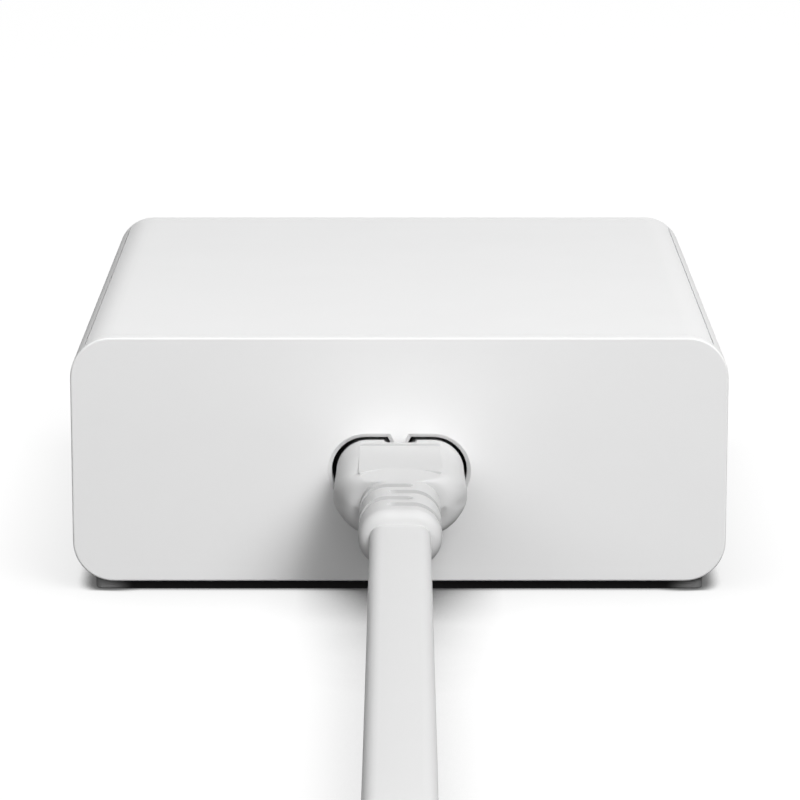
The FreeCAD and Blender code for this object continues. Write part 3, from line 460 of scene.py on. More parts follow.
@dataclass
class FlatLead:
    """Flat two-core mains lead: straight out of its plug, then put away in a tied coil.

    Attributes:
        width: Width of the lead.
        thickness: Thickness of the lead.
        edge_radius: Radius of the lead's rounded edges.
        length: Real length of the lead between its two plugs; not used.
        coil_centre: Middle of the coil on the floor.
        coil_radius: Radius of the outermost turn's middle line.
        coil_pitch: Step from one turn to the next.
        coil_turns: Number of turns.
        turn_points: Points of the route in one turn.
        run: Route from the appliance plug to the coil.
        climb: Route from the coil's inside onto its top, from the coil's middle.
        tail: Route over the coil and down to the wall plug, from the coil's middle.
        order: Order of the route's spline.
        fineness: Number of steps between two points of the route.
        edge_steps: Number of steps in each rounded edge.
    """

    width: float = 7.25 * MM
    thickness: float = 3.6 * MM
    edge_radius: float = 1.5 * MM
    length: float = 1.5
    coil_centre: Vector = field(default_factory=lambda: Vector((0.020, -0.275325, 0.0)))
    coil_radius: float = 46 * MM
    coil_pitch: float = 3.8 * MM
    coil_turns: int = 5
    turn_points: int = 16
    run: tuple[tuple[float, float, float], ...] = (
        (0.0001, -0.080625, 0.01575),
        (0.0001, -0.168225, 0.01575),
        (0.0, -0.197325, 0.01575),
        (-0.0115, -0.223325, 0.0100),
        (-0.0260, -0.250325, 0.0036),
    )
    climb: tuple[tuple[float, float, float], ...] = (
        (-0.0240, -0.0099, 0.0046),
        (-0.0177, -0.0177, 0.0074),
        (-0.0105, -0.0253, 0.0102),
    )
    tail: tuple[tuple[float, float, float], ...] = (
        (0.0, -0.0325, 0.0104),
        (0.0142, -0.0343, 0.0094),
        (0.0267, -0.0267, 0.0090),
        (0.0365, -0.0098, 0.0090),
        (0.0372, 0.0240, 0.0112),
        (0.0356, 0.0460, 0.0070),
        (0.0356, 0.0660, 0.0070),
    )
    order: int = 3
    fineness: int = 6
    edge_steps: int = 6

    def route(self) -> list[Vector]:
        """Points of the whole route, from the appliance plug to the wall plug.

        Returns:
            The control points of the lead's spline.
        """
        points = [Vector(point) for point in self.run]
        half_points = self.turn_points // 2
        spread = 1 / math.cos(math.pi / self.turn_points)
        for step in range(self.coil_turns * self.turn_points + 1):
            half_turn, part = divmod(step, half_points)
            shift = (half_turn % 2) * self.coil_pitch / 2
            radius = (self.coil_radius - half_turn * self.coil_pitch / 2) * spread
            angle = math.pi * (half_turn + part / half_points)
            around = Vector((shift - radius * math.cos(angle), -radius * math.sin(angle), self.width / 2))
            points.append(self.coil_centre + around)
        return points + [self.coil_centre + Vector(point) for point in self.climb + self.tail]

    def middle_line(self) -> list[Vector]:
        """Points along the lead's smooth middle line.

        Returns:
            The points, read from the route's spline.
        """
        curve = bpy.data.curves.new("lead_route", "CURVE")
        curve.dimensions = "3D"
        curve.resolution_u = self.fineness
        spline = curve.splines.new("NURBS")
        route = self.route()
        spline.points.add(len(route) - 1)
        for point, place in zip(spline.points, route):
            point.co = (*place, 1.0)
        spline.order_u = self.order
        spline.use_endpoint_u = True
        holder = bpy.data.objects.new("lead_route", curve)
        line = bpy.data.meshes.new_from_object(holder)
        points = [vert.co.copy() for vert in line.vertices]
        bpy.data.objects.remove(holder)
        bpy.data.curves.remove(curve)
        bpy.data.meshes.remove(line)
        return points

    def roll_at(self, distance: float, marks: tuple[float, float, float, float]) -> float:
        """Turn of the lead about its own line: flat at both ends, on edge in the coil.

        Args:
            distance: Distance along the lead.
            marks: Where it starts and ends to stand up, and where it starts and ends to lie down.

        Returns:
            The turn in radians.
        """
        up = smooth_step(distance, marks[0], marks[1])
        down = smooth_step(distance, marks[2], marks[3])
        return math.pi / 2 * (up - down)

    def build(self) -> tuple[bpy.types.Object, list[Vector]]:
        """Model the lead as one tube along its middle line.

        Returns:
            The lead and the points that it follows.
        """
        line = self.middle_line()
        distances = [0.0]
        for before, after in zip(line, line[1:]):
            distances.append(distances[-1] + (after - before).length)
        section = rounded_outline(self.width / 2, self.thickness / 2, self.edge_radius, self.edge_steps)
        marks = self._roll_marks(line, distances)
        rings = []
        for index, point in enumerate(line):
            along = (line[min(index + 1, len(line) - 1)] - line[max(index - 1, 0)]).normalized()
            level = along.cross(Vector((0, 0, 1))).normalized()
            upward = level.cross(along).normalized()
            roll = self.roll_at(distances[index], marks)
            wide = level * math.cos(roll) + upward * math.sin(roll)
            thin = upward * math.cos(roll) - level * math.sin(roll)
            rings.append([point + wide * across + thin * over for across, over in section])
        mesh = wrapped_grid(len(section), len(rings), lambda column, row: rings[row][column])
        piece = finished_piece("flat_lead", mesh, "lead_white")
        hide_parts("cord_run", "cord_coil", "cord_tail")
        LOG.info("flat_lead: %.3f m along its middle line", distances[-1])
        return piece, line

    def _roll_marks(self, line: list[Vector], distances: list[float]) -> tuple[float, float, float, float]:
        """Find where the lead stands up on edge and where it lies down again.

        Args:
            line: Points of the middle line.
            distances: Distance of each point along the lead.

        Returns:
            Start and end of the standing up, start and end of the lying down.
        """
        bend = Vector(self.run[2])
        stand_from = next(d for p, d in zip(line, distances) if p.y < bend.y)
        stand_to = next(d for p, d in zip(line, distances) if p.y < self.coil_centre.y)
        inside, over = (self.coil_centre + Vector(part[0]) for part in (self.climb, self.tail))
        lie_from, lie_to = (min(zip(line, distances), key=lambda pair: (pair[0] - place).length)[1]
                            for place in (inside, over))
        return stand_from, stand_to, lie_from, lie_to


@dataclass
class AppliancePlug:
    """Moulded figure-8 plug of the lead, with its grip flats, domed shoulder and grooved strain relief.

    Distances run backwards from the charger's rear face, so the nose has a negative one.

    Attributes:
        rear_face: Place of the charger's rear face along Y.
        level: Height of the plug's middle line.
        side_play: How far the plug sits off the middle of the inlet.
        half_width: Half of the plug's width.
        half_height: Half of the plug's height.
        nose: Distance of the plug's nose.
        nose_step: Distance at which the plug steps in to its nose.
        nose_inset: How far the nose is set in from the rest of the plug.
        nose_bevel: Size of the bevel round the nose.
        hair: Half of the length that an upright step takes up.
        hair_turn: Half of the angle that the side of a grip flat takes up, in degrees.
        coarse_turn: Angle between the points of a ring elsewhere, in whole degrees.
        rings: Number of rings on the flats, beside the dips, on the shoulder, on the relief and on its end.
        flare: How much narrower the plug is at the inlet than at its shoulder, on each side.
        notch_end: Distance at which the notches for the inlet's teeth end.
        notch: Half-width of a notch at the surface and at its root, and height of its root.
        flat_start: Distance at which the grip flats start.
        flat_end: Distance at which the grip flats end, in the middle.
        flat_bow: How much further back the grip flats end at their corners.
        flat_height: Height of the grip flats over the middle line.
        line: Depth and length of the fine groove along the front edge of a grip flat.
        dip_start: Distance from which the sides dip beside the grip flats.
        dip: Depth of the dip at the edge of a grip flat, and how far it reaches outwards.
        dip_first: Share of the dip's depth that it starts with.
        crease: Distance at which the shoulder starts to fall, at its sides and at the corners of the flats.
        crease_power: How fast the crease runs from the corners of the flats to the sides.
        crease_turn: Share of the shoulder's round profile that the crease takes at once.
        sink_start: Distance from which the shoulder's top sinks to the strain relief.
        crown_start: Distance from which the underside is rounded, and the length over which it grows round.
        crown: Power of the round underside's section.
        under_haste: How much faster the shoulder falls on the underside, and the share of the direction down
            the plug at which it does so in full.
        shoulder_end: Distance at which the shoulder's sides meet the strain relief.
        blend_end: Distance at which the shoulder's top has sunk to the strain relief.
        dome: Power of the shoulder's round profile.
        relief_half_width: Half of the strain relief's width.
        relief_half_height: Half of the strain relief's height.
        relief_end: Distance of the strain relief's end.
        relief_round: Radius of the strain relief's end.
        groove_first: Distance of the first groove.
        groove_pitch: Step from one groove to the next.
        groove_count: Number of grooves.
        groove_half: Half-width of a groove.
        groove_depth: Depth of a groove.
        groove_overlap: How far a groove runs past the middle.
        groove_edge: Width of a groove's soft edge.
        groove_foot: Share of that edge by which a groove starts outside its width.
        groove_lead: How far before the first groove the rings are straight again, in half-widths of a groove.
        shade_edge: How far the painted shade of a groove reaches past its edge.
        shade_hairs: How far the painted shade reaches before a flat's line, and about a flat's end, in hairs.
        socket_spacing: Distance between the two contact sockets.
        socket_radius: Radius of a contact socket.
        socket_depth: Depth of a contact socket.
        socket_sides: Number of sides of a contact socket.
    """

    rear_face: float = -45.325 * MM
    level: float = 15.75 * MM
    side_play: float = 0.1 * MM
    half_width: float = 8.28 * MM
    half_height: float = 4.03 * MM
    nose: float = -11.4 * MM
    nose_step: float = -0.25 * MM
    nose_inset: float = 0.5 * MM
    nose_bevel: float = 0.12 * MM
    hair: float = 0.006 * MM
    hair_turn: float = 0.25
    coarse_turn: int = 3
    rings: tuple[int, int, int, int, int] = (8, 42, 40, 210, 9)
    flare: float = 0.2 * MM
    notch_end: float = 1.3 * MM
    notch: tuple[float, float, float] = (2.1 * MM, 0.6 * MM, 2.28 * MM)
    flat_start: float = 2.4 * MM
    flat_end: float = 15.05 * MM
    flat_bow: float = 2.3 * MM
    flat_height: float = 3.93 * MM
    line: tuple[float, float] = (0.06 * MM, 0.4 * MM)
    dip_start: float = 8.0 * MM
    dip: tuple[float, float] = (0.4 * MM, 1.1 * MM)
    dip_first: float = 0.2
    crease: tuple[float, float] = (12.6 * MM, 17.4 * MM)
    crease_power: float = 0.7
    crease_turn: float = 0.25
    sink_start: float = 13.0 * MM
    crown_start: tuple[float, float] = (9.0 * MM, 3.5 * MM)
    crown: float = 2.3
    under_haste: tuple[float, float] = (0.22, 0.9)
    shoulder_end: float = 19.0 * MM
    blend_end: float = 20.5 * MM
    dome: float = 2.4
    relief_half_width: float = 4.975 * MM
    relief_half_height: float = 3.5 * MM
    relief_end: float = 35.3 * MM
    relief_round: float = 1.2 * MM
    groove_first: float = 22.2 * MM
    groove_pitch: float = 3.17 * MM
    groove_count: int = 4
    groove_half: float = 0.8 * MM
    groove_depth: float = 0.9 * MM
    groove_overlap: float = 1.45 * MM
    groove_edge: float = 0.05 * MM
    groove_foot: float = 0.25
    groove_lead: float = 1.2
    shade_edge: float = 0.09 * MM
    shade_hairs: tuple[int, int] = (2, 4)
    socket_spacing: float = 8.6 * MM
    socket_radius: float = 1.7 * MM
    socket_depth: float = 9.6 * MM
    socket_sides: int = 32

    def build(self) -> bpy.types.Object:
        """Model the plug ring by ring, and sink its contact sockets.

        Returns:
            The plug.
        """
        rows = self._rows()
        angles = self._angles()
        mesh = wrapped_grid(len(angles), len(rows),
                            lambda column, row: self._point(angles[column], rows[row]))
        # Mark where shade is painted into the plug's colour
        self._mark_painted_shade(mesh)
        self._sink_sockets(mesh)
        piece = finished_piece("moulded_appliance_plug", mesh, "lead_white", "moulded_white", sharp_from=35.0)
        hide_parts("appliance_plug")
        return piece

    def _rows(self) -> list[float]:
        """Distances of the rings, close together where the form changes.

        Returns:
            The distances in order.
        """
        on_flat, beside, shoulder, relief, end = self.rings
        quarter = math.pi / 2
        steps = [self.nose, self.nose + self.nose_bevel, self.flat_start + self.line[1]]
        for edge in (self.nose_step, self.notch_end, self.flat_start, self.flat_end):
            steps += [edge - self.hair, edge + self.hair]
        steps += self._spread(self.flat_start + self.line[1], self.dip_start, on_flat)
        steps += self._spread(self.dip_start, self.flat_end, beside)
        span = self.shoulder_end - self.flat_end
        steps += [self.flat_end + span * math.sin(quarter * step / shoulder)
                  for step in range(1, shoulder + 1)]
        steps += self._spread(self.shoulder_end, self.relief_end - self.relief_round, relief)
        steps += [self.relief_end - self.relief_round * (1 - math.sin(quarter * step / end))
                  for step in range(end + 1)]
        return sorted(set(steps))

    def _spread(self, start: float, end: float, count: int) -> list[float]:
        """Even distances between two others, both left out."""
        return [start + (end - start) * step / count for step in range(1, count)]

    def _angles(self) -> list[float]:
        """Angles of the points of a ring, close together at the edges of the flats and the notches.

        Returns:
            The angles in order, from 0 to a whole turn.
        """
        hair = math.radians(self.hair_turn)
        wide, narrow, root = self.notch
        side = math.atan2(self.flat_height, self._flat_half())
        edges = [side - hair, side + hair, math.atan2(self.half_height, wide), math.atan2(root, narrow)]
        quarter = [math.radians(degrees) for degrees in range(0, 90, self.coarse_turn)]
        quarter = [angle for angle in quarter if all(abs(angle - edge) > 2 * hair for edge in edges)] + edges
        half = quarter + [math.pi / 2] + [math.pi - angle for angle in quarter]
        return sorted({angle % (2 * math.pi) for angle in half + [-angle for angle in half]})

    def _flat_half(self) -> float:
        """Half-width of a grip flat: where its plane meets the plug's round side."""
        inner = self.half_width - self.half_height
        return inner + math.sqrt(self.half_height ** 2 - self.flat_height ** 2)

    def _point(self, angle: float, row: float) -> Vector:
        """Place of one point of the plug's skin.

        Args:
            angle: Angle of the point round the plug's middle line.
            row: Distance of the point's ring in the plug's middle.

        Returns:
            The point.
        """
        across = math.cos(angle)
        over = math.sin(angle)
        distance = row + self._bow(abs(across), abs(over), row)
        felt = distance
        if over < 0:
            haste, full = self.under_haste
            gain = haste * min(1.0, -over / full) * (distance - self.crease[0])
            felt = max(distance, min(self.blend_end, distance + gain))
        reach = self._reach(abs(across), abs(over), felt)
        if over < 0:
            reach += self._crowned(abs(across), abs(over), felt, reach)
        on_flat = abs(over) * self._flat_half() > abs(across) * self.flat_height
        if on_flat and self.flat_start < row < self.flat_end:
            depth, length = self.line
            sunk = depth * max(0.0, 1 - (row - self.flat_start) / length)
            flat = (self.flat_height - sunk) / abs(over)
            reach = flat if over > 0 else min(flat, reach)
        reach -= self.groove_depth * self._groove(across * reach, distance, 0.0)
        return Vector((self.side_play + across * reach, self.rear_face - distance, self.level + over * reach))

    def _crowned(self, across: float, over: float, distance: float, reach: float) -> float:
        """How much the underside of the shoulder is rounded off.

        Args:
            across: Share of the direction across the plug.
            over: Share of the direction down the plug.
            distance: Distance of the point.
            reach: Radius of the plug in the direction.

        Returns:
            What comes on top of the radius.
        """
        start, length = self.crown_start
        if distance > self.blend_end:
            return 0.0
        wide = self._width(distance, across, over)
        sink = smooth_step(distance, start, self.flat_end)
        high = self.half_height + (self.relief_half_height - self.half_height) * sink
        oval = ((across / wide) ** self.crown + (over / high) ** self.crown) ** (-1 / self.crown)
        share = smooth_step(distance, start, start + length)
        return (oval - reach) * share * (1 - smooth_step(distance, self.flat_end, self._dome_end(over)))

    def _mark_painted_shade(self, mesh: bmesh.types.BMesh) -> None:
        """Mark the grooves, the line before the grip flats and the ends of the flats for painted shade.

        Args:
            mesh: The plug's mesh.
        """
        before, about = self.shade_hairs
        mark = mesh.verts.layers.float.new(PAINTED_SHADE)
        for vert in mesh.verts:
            across, over = vert.co.x - self.side_play, abs(vert.co.z - self.level)
            distance = self.rear_face - vert.co.y
            deep = self._groove(across, distance, self.shade_edge)
            aside = self._aside(abs(across), over)
            if aside < 1:
                past_line = (distance - self.flat_start) / self.line[1]
                if -before * self.hair / self.line[1] < past_line < 1:
                    deep = 1 - max(0.0, past_line)
                if abs(distance - self.flat_end - self.flat_bow * aside * aside) < about * self.hair:
                    deep = aside * aside
            vert[mark] = min(1.0, deep)

    def _aside(self, across: float, over: float) -> float:
        """How far a direction leans aside: 0 in the plug's middle, 1 at the edge of a grip flat."""
        return across * self.flat_height / max(over * self._flat_half(), TINY)

    def _bow(self, across: float, over: float, row: float) -> float:
        """How far a ring bends back, so that the grip flats end in a bow and the shoulder ends on a slant.

        Args:
            across: Share of the direction across the plug.
            over: Share of the direction up the plug.
            row: Distance of the ring in the plug's middle.

        Returns:
            The bend at the ring.
        """
        aside = min(1.0, self._aside(across, over))
        keys = ((self.dip_start, 0.0), (self.flat_end, self.flat_bow * aside * aside),
                (self.shoulder_end, self._dome_end(over) - self.shoulder_end),
                (self.groove_first - self.groove_lead * self.groove_half, 0.0))
        for (low, low_bend), (high, high_bend) in zip(keys, keys[1:]):
            if low <= row < high:
                return low_bend + (high_bend - low_bend) * (row - low) / (high - low)
        return 0.0

    def _dome_end(self, over: float) -> float:
        """Distance at which the shoulder meets the strain relief: further back on top than at the sides."""
        return self.shoulder_end + (self.blend_end - self.shoulder_end) * over * over

    def _reach(self, across: float, over: float, distance: float) -> float:
        """Radius of the plug in one direction, without the grip flats and the grooves.

        Args:
            across: Share of the direction across the plug.
            over: Share of the direction up the plug.
            distance: Distance of the point.

        Returns:
            The radius.
        """
        if distance > self.blend_end:
            left = max(0.0, distance - (self.relief_end - self.relief_round))
            inset = self.relief_round - math.sqrt(max(0.0, self.relief_round ** 2 - left ** 2))
            return self._round_ended(across, over, self.relief_half_width - inset,
                                     self.relief_half_height - inset)
        inset = self.nose_inset if distance < self.nose_step else 0.0
        wide = self._width(distance, across, over) - inset
        sink = smooth_step(distance, self.sink_start, self.blend_end)
        high = self.half_height + (self.relief_half_height - self.half_height) * sink - inset
        reach = self._round_ended(across, over, wide, high)
        reach -= self._dip(across * reach - self._flat_half(), distance)
        if distance < self.notch_end:
            reach = min(reach, self._notch_reach(across, over))
        if distance < self.nose + self.nose_bevel / 2:
            reach -= self.nose_bevel
        return reach

    def _width(self, distance: float, across: float, over: float) -> float:
        """Half-width of the plug: its flare, and the shoulder's fall from the crease on.

        Args:
            distance: Distance of the point.
            across: Share of the point's direction across the plug.
            over: Share of the point's direction up the plug.

        Returns:
            The half-width at the distance.
        """
        side, corner = self.crease
        start = side + (corner - side) / max(1.0, self._aside(across, over)) ** self.crease_power
        share = min(1.0, max(0.0, (distance - start) / (self._dome_end(over) - start)))
        turn = (self.crease_turn + (1 - self.crease_turn) * share) ** self.dome
        bulge = ((1 - turn) / (1 - self.crease_turn ** self.dome)) ** (1 / self.dome)
        flared = self.half_width - self.flare * (1 - smooth_step(distance, 0.0, side))
        return self.relief_half_width + (flared - self.relief_half_width) * bulge

    def _dip(self, beyond: float, distance: float) -> float:
        """Depth of the dip beside the grip flats.

        Args:
            beyond: How far the point lies outside the edge of the flat.
            distance: Distance of the point.

        Returns:
            The depth, 0 on the flats' own side.
        """
        depth, reach = self.dip
        end = self.flat_end + self.flat_bow
        if beyond <= 0 or not self.dip_start < distance < end:
            return 0.0
        along = self.dip_first + (1 - self.dip_first) * (distance - self.dip_start) / (end - self.dip_start)
        return depth * along * max(0.0, 1 - beyond / reach) ** 2

    def _round_ended(self, across: float, over: float, half_width: float, half_height: float) -> float:
        """Radius, in one direction, of a section with flat top and round ends.

        Args:
            across: Share of the direction across the section.
            over: Share of the direction up the section.
            half_width: Half of the section's width.
            half_height: Half of the section's height.

        Returns:
            The radius.
        """
        flat = half_width - half_height
        if over > 0 and half_height * across <= flat * over:
            return half_height / over
        return flat * across + math.sqrt(half_height ** 2 - (flat * over) ** 2)

    def _notch_reach(self, across: float, over: float) -> float:
        """Radius down to the floor and the sloping sides of a notch.

        Args:
            across: Share of the direction across the plug.
            over: Share of the direction up the plug.

        Returns:
            The radius, which is very large beside the notch.
        """
        wide, narrow, root = self.notch
        if over <= 0 or across * self.half_height > wide * over:
            return FAR
        if across * root <= narrow * over:
            return root / over
        slope = (self.half_height - root) / (wide - narrow)
        return (root - slope * narrow) / (over - slope * across)

    def _groove(self, across: float, distance: float, grown: float) -> float:
        """How far one place lies inside the strain relief's grooves.

        Args:
            across: Place across the relief.
            distance: Distance of the ring.
            grown: How much wider than they are the grooves are taken, on each side.

        Returns:
            1 in a groove, 0 beside the grooves.
        """
        share = 0.0
        for index in range(self.groove_count):
            side = -1 if index % 2 == 0 else 1
            beyond = max(0.0, -side * across - (self.groove_overlap - self.groove_half))
            off = math.hypot(beyond, distance - self.groove_first - index * self.groove_pitch)
            share += smooth_step(self.groove_half + grown - off, -self.groove_foot * self.groove_edge,
                                 self.groove_edge)
        return share

    def _sink_sockets(self, mesh: bmesh.types.BMesh) -> None:
        """Open two round contact sockets in the plug's nose.

        Args:
            mesh: The plug's mesh.
        """
        nose_y = self.rear_face - self.nose
        cap = max(mesh.faces, key=lambda face: face.calc_center_median().y)
        rims = list(cap.edges)
        bmesh.ops.delete(mesh, geom=[cap], context="FACES_ONLY")
        for side in (-1, 1):
            middle = Matrix.Translation((side * self.socket_spacing / 2, nose_y, self.level))
            ring = bmesh.ops.create_circle(mesh, segments=self.socket_sides, radius=self.socket_radius,
                                           matrix=middle @ Matrix.Rotation(math.pi / 2, 4, "X"))
            mouth = list({edge for vert in ring["verts"] for edge in vert.link_edges})
            rims += mouth
            sunk = bmesh.ops.extrude_edge_only(mesh, edges=mouth)["geom"]
            bottom = [item for item in sunk if isinstance(item, bmesh.types.BMVert)]
            bmesh.ops.translate(mesh, verts=bottom, vec=(0.0, -self.socket_depth, 0.0))
            floor = [item for item in sunk if isinstance(item, bmesh.types.BMEdge)]
            bmesh.ops.holes_fill(mesh, edges=floor, sides=0)
        bmesh.ops.triangle_fill(mesh, use_beauty=True, edges=rims)
        bmesh.ops.recalc_face_normals(mesh, faces=mesh.faces)


@dataclass
class WallPlug:
    """Moulded two-blade wall plug at the far end of the lead, with its sizes in millimetres.

    Attributes:
        start: Place where the lead enters the plug, in metres.
        profile: Rings of the plug: distance from the start, half-width, half-height and corner radius.
        ribs: Number of ring grooves on the strain relief.
        rib_first: Distance of the first ring groove.
        rib_pitch: Step from one ring groove to the next.
        rib_half: Half-width of a ring groove.
        rib_depth: Depth of a ring groove.
        rib_edge: Width of a ring groove's soft edge.
        relief_end: Distance at which the strain relief ends.
        relief_rings: First and last count of the fine rings along the strain relief.
        corner_steps: Number of steps in each rounded corner.
    """

    start: Vector = field(default_factory=lambda: Vector((55.6, -209.325, 7.0)) * MM)
    profile: tuple[tuple[float, float, float, float], ...] = (
        (0.0, 4.2, 2.6, 2.6), (0.25, 4.6, 3.0, 3.0), (0.7, 4.8, 3.2, 3.2), (11.0, 4.8, 3.2, 3.2),
        (12.5, 5.0, 3.35, 3.3), (14.5, 6.0, 3.9, 3.4), (16.5, 7.6, 4.7, 3.5), (18.5, 9.2, 5.5, 3.4),
        (20.0, 10.4, 6.1, 3.3), (21.0, 11.1, 6.5, 3.2), (22.2, 11.7, 6.85, 3.1), (23.5, 12.0, 7.0, 3.0),
        (41.2, 12.0, 7.0, 3.0), (41.7, 11.85, 6.85, 2.85), (42.0, 11.4, 6.4, 2.4),
    )
    ribs: int = 3
    rib_first: float = 3.4
    rib_pitch: float = 2.6
    rib_half: float = 0.6
    rib_depth: float = 0.6
    rib_edge: float = 0.3
    relief_end: float = 11.0
    relief_rings: tuple[int, int] = (7, 88)
    corner_steps: int = 8

    def build(self) -> bpy.types.Object:
        """Model the plug ring by ring along its profile.

        Returns:
            The plug.
        """
        first, last = self.relief_rings
        fine = {self.relief_end * step / last for step in range(first, last)}
        rows = sorted({ring[0] for ring in self.profile} | fine)
        rings = [self._ring(row) for row in rows]
        mesh = wrapped_grid(len(rings[0]), len(rings), lambda column, row: rings[row][column])
        piece = finished_piece("moulded_wall_plug", mesh, "lead_white", "moulded_white")
        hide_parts("wall_plug")
        return piece

    def _ring(self, distance: float) -> list[Vector]:
        """Points of the ring at one distance.

        Args:
            distance: Distance from the start, in millimetres.

        Returns:
            The points in order.
        """
        after = next(index for index, ring in enumerate(self.profile) if ring[0] >= distance)
        high = self.profile[after]
        low = self.profile[max(after - 1, 0)]
        share = 1.0 if high[0] == low[0] else (distance - low[0]) / (high[0] - low[0])
        half_width, half_height, radius = (a + (b - a) * share for a, b in zip(low[1:], high[1:]))
        inset = 0.0
        for index in range(self.ribs):
            off = abs(distance - self.rib_first - index * self.rib_pitch)
            inset += self.rib_depth * smooth_step(self.rib_half - off, 0.0, self.rib_edge)
        outline = rounded_outline(half_width - inset, half_height - inset, radius - inset, self.corner_steps)
        return [self.start + Vector((across, distance, over)) * MM for across, over in outline]


@dataclass
class CoilTie:
    """Woven strap round the coil's turns.

    Attributes:
        thickness: Thickness of the strap.
        corner: Radius of the strap's bends.
        edge: Radius of the strap's edges.
        bend_steps: Number of steps in each bend.
        edge_steps: Number of steps in each rounded edge.
    """

    thickness: float = 0.8 * MM
    corner: float = 1.6 * MM
    edge: float = 0.3 * MM
    bend_steps: int = 6
    edge_steps: int = 3

    def build(self) -> bpy.types.Object:
        """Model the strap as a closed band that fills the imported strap's box.

        Returns:
            The strap.
        """
        low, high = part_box("coil_tie")
        middle = (low + high) / 2
        wide, deep, tall = (high - low) / 2
        loop = rounded_outline(deep, tall, self.corner, self.bend_steps)
        core = rounded_outline(deep - self.thickness, tall - self.thickness,
                               self.corner - self.thickness / 2, self.bend_steps)
        band = rounded_outline(wide, self.thickness / 2, self.edge, self.edge_steps)

        def place(column: int, row: int) -> Vector:
            """Place of one point of the strap.

            Args:
                column: Number of the point round the strap's section.
                row: Number of the point along the strap, round the turns.

            Returns:
                The point.
            """
            outside, inside = loop[row % len(loop)], core[row % len(loop)]
            across, depth = band[column]
            share = 0.5 - depth / self.thickness
            return middle + Vector((across, outside[0] + (inside[0] - outside[0]) * share,
                                    outside[1] + (inside[1] - outside[1]) * share))

        mesh = wrapped_grid(len(band), len(loop) + 1, place)
        piece = finished_piece("woven_coil_tie", mesh, "tie_grey")
        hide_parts("coil_tie")
        return piece


class Port(Enum):
    """Kinds of USB port.

    Each has the number of contacts in a row, their pitch and width in millimetres, and whether both faces of
    the tongue carry them.
    """

    TYPE_A = (4, 2.2, 1.0, False)
    TYPE_C = (12, 0.5, 0.26, True)


@dataclass
class PortContacts:
    """Gold contact strips on the tongue of one USB port.

    Attributes:
        node: Node of the tongue.
        port: Kind of the port.
        thickness: How far a strip stands out of the tongue.
        length: Length of a strip.
        setback: Distance of the strips from the tongue's tip.
        bevel: Size of the bevel on a strip's edges.
        tip: Length of the tongue's tip, where its thickness is read.
    """

    node: str
    port: Port
    thickness: float = 0.06 * MM
    length: float = 6.5 * MM
    setback: float = 0.7 * MM
    bevel: float = 0.02 * MM
    tip: float = 0.1 * MM

    def build(self) -> bpy.types.Object:
        """Model all the strips of the port as one piece.

        Returns:
            The strips.
        """
        count, pitch, width, both = self.port.value
        low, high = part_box(self.node)
        tongue = self._tongue_levels(low, high)
        mesh = bmesh.new()
        for level in tongue if both else tongue[:1]:
            for index in range(count):
                x = (low.x + high.x) / 2 + (index - (count - 1) / 2) * pitch * MM
                y = high.y - self.setback - self.length / 2
                size = Matrix.Diagonal((width * MM, self.length, 2 * self.thickness, 1.0))
                bmesh.ops.create_cube(mesh, size=1.0, matrix=Matrix.Translation((x, y, level)) @ size)
        bmesh.ops.bevel(mesh, geom=mesh.edges, affect="EDGES", offset=self.bevel, segments=1, profile=0.5,
                        material=-1)
        return finished_piece(f"{self.node}_contacts", mesh, "contact_brass")

    def _tongue_levels(self, low: Vector, high: Vector) -> tuple[float, float]:
        """Heights of the tongue's lower and upper faces, read at its tip.

        Args:
            low: Lowest corner of the insulator.
            high: Highest corner of the insulator.

        Returns:
            The two heights.
        """
        verts = frame["nodes"][self.node].data.vertices
        tip = [vert.co.z for vert in verts if vert.co.y > high.y - self.tip]
        return (min(tip), max(tip)) if tip else (low.z, high.z)


@dataclass(frozen=True)
class SoftBox:
    """One square lamp of the studio.

    Attributes:
        name: Name of the lamp.
        place: Where it hangs.
        size: Length of its sides.
        power: Power in watts.
        aim: Point that it faces.
    """

    name: str
    place: tuple[float, float, float]
    size: float
    power: float
    aim: tuple[float, float, float] = (0.0, -0.03, 0.015)

    def hang(self) -> None:
        """Hang the lamp so that it faces the charger."""
        data = bpy.data.lights.new(self.name, "AREA")
        data.size = self.size
        data.energy = self.power
        lamp = bpy.data.objects.new(self.name, data)
        lamp.location = self.place
        line = Vector(self.aim) - Vector(self.place)
        lamp.rotation_euler = line.to_track_quat("-Z", "Y").to_euler()
        bpy.context.scene.collection.objects.link(lamp)


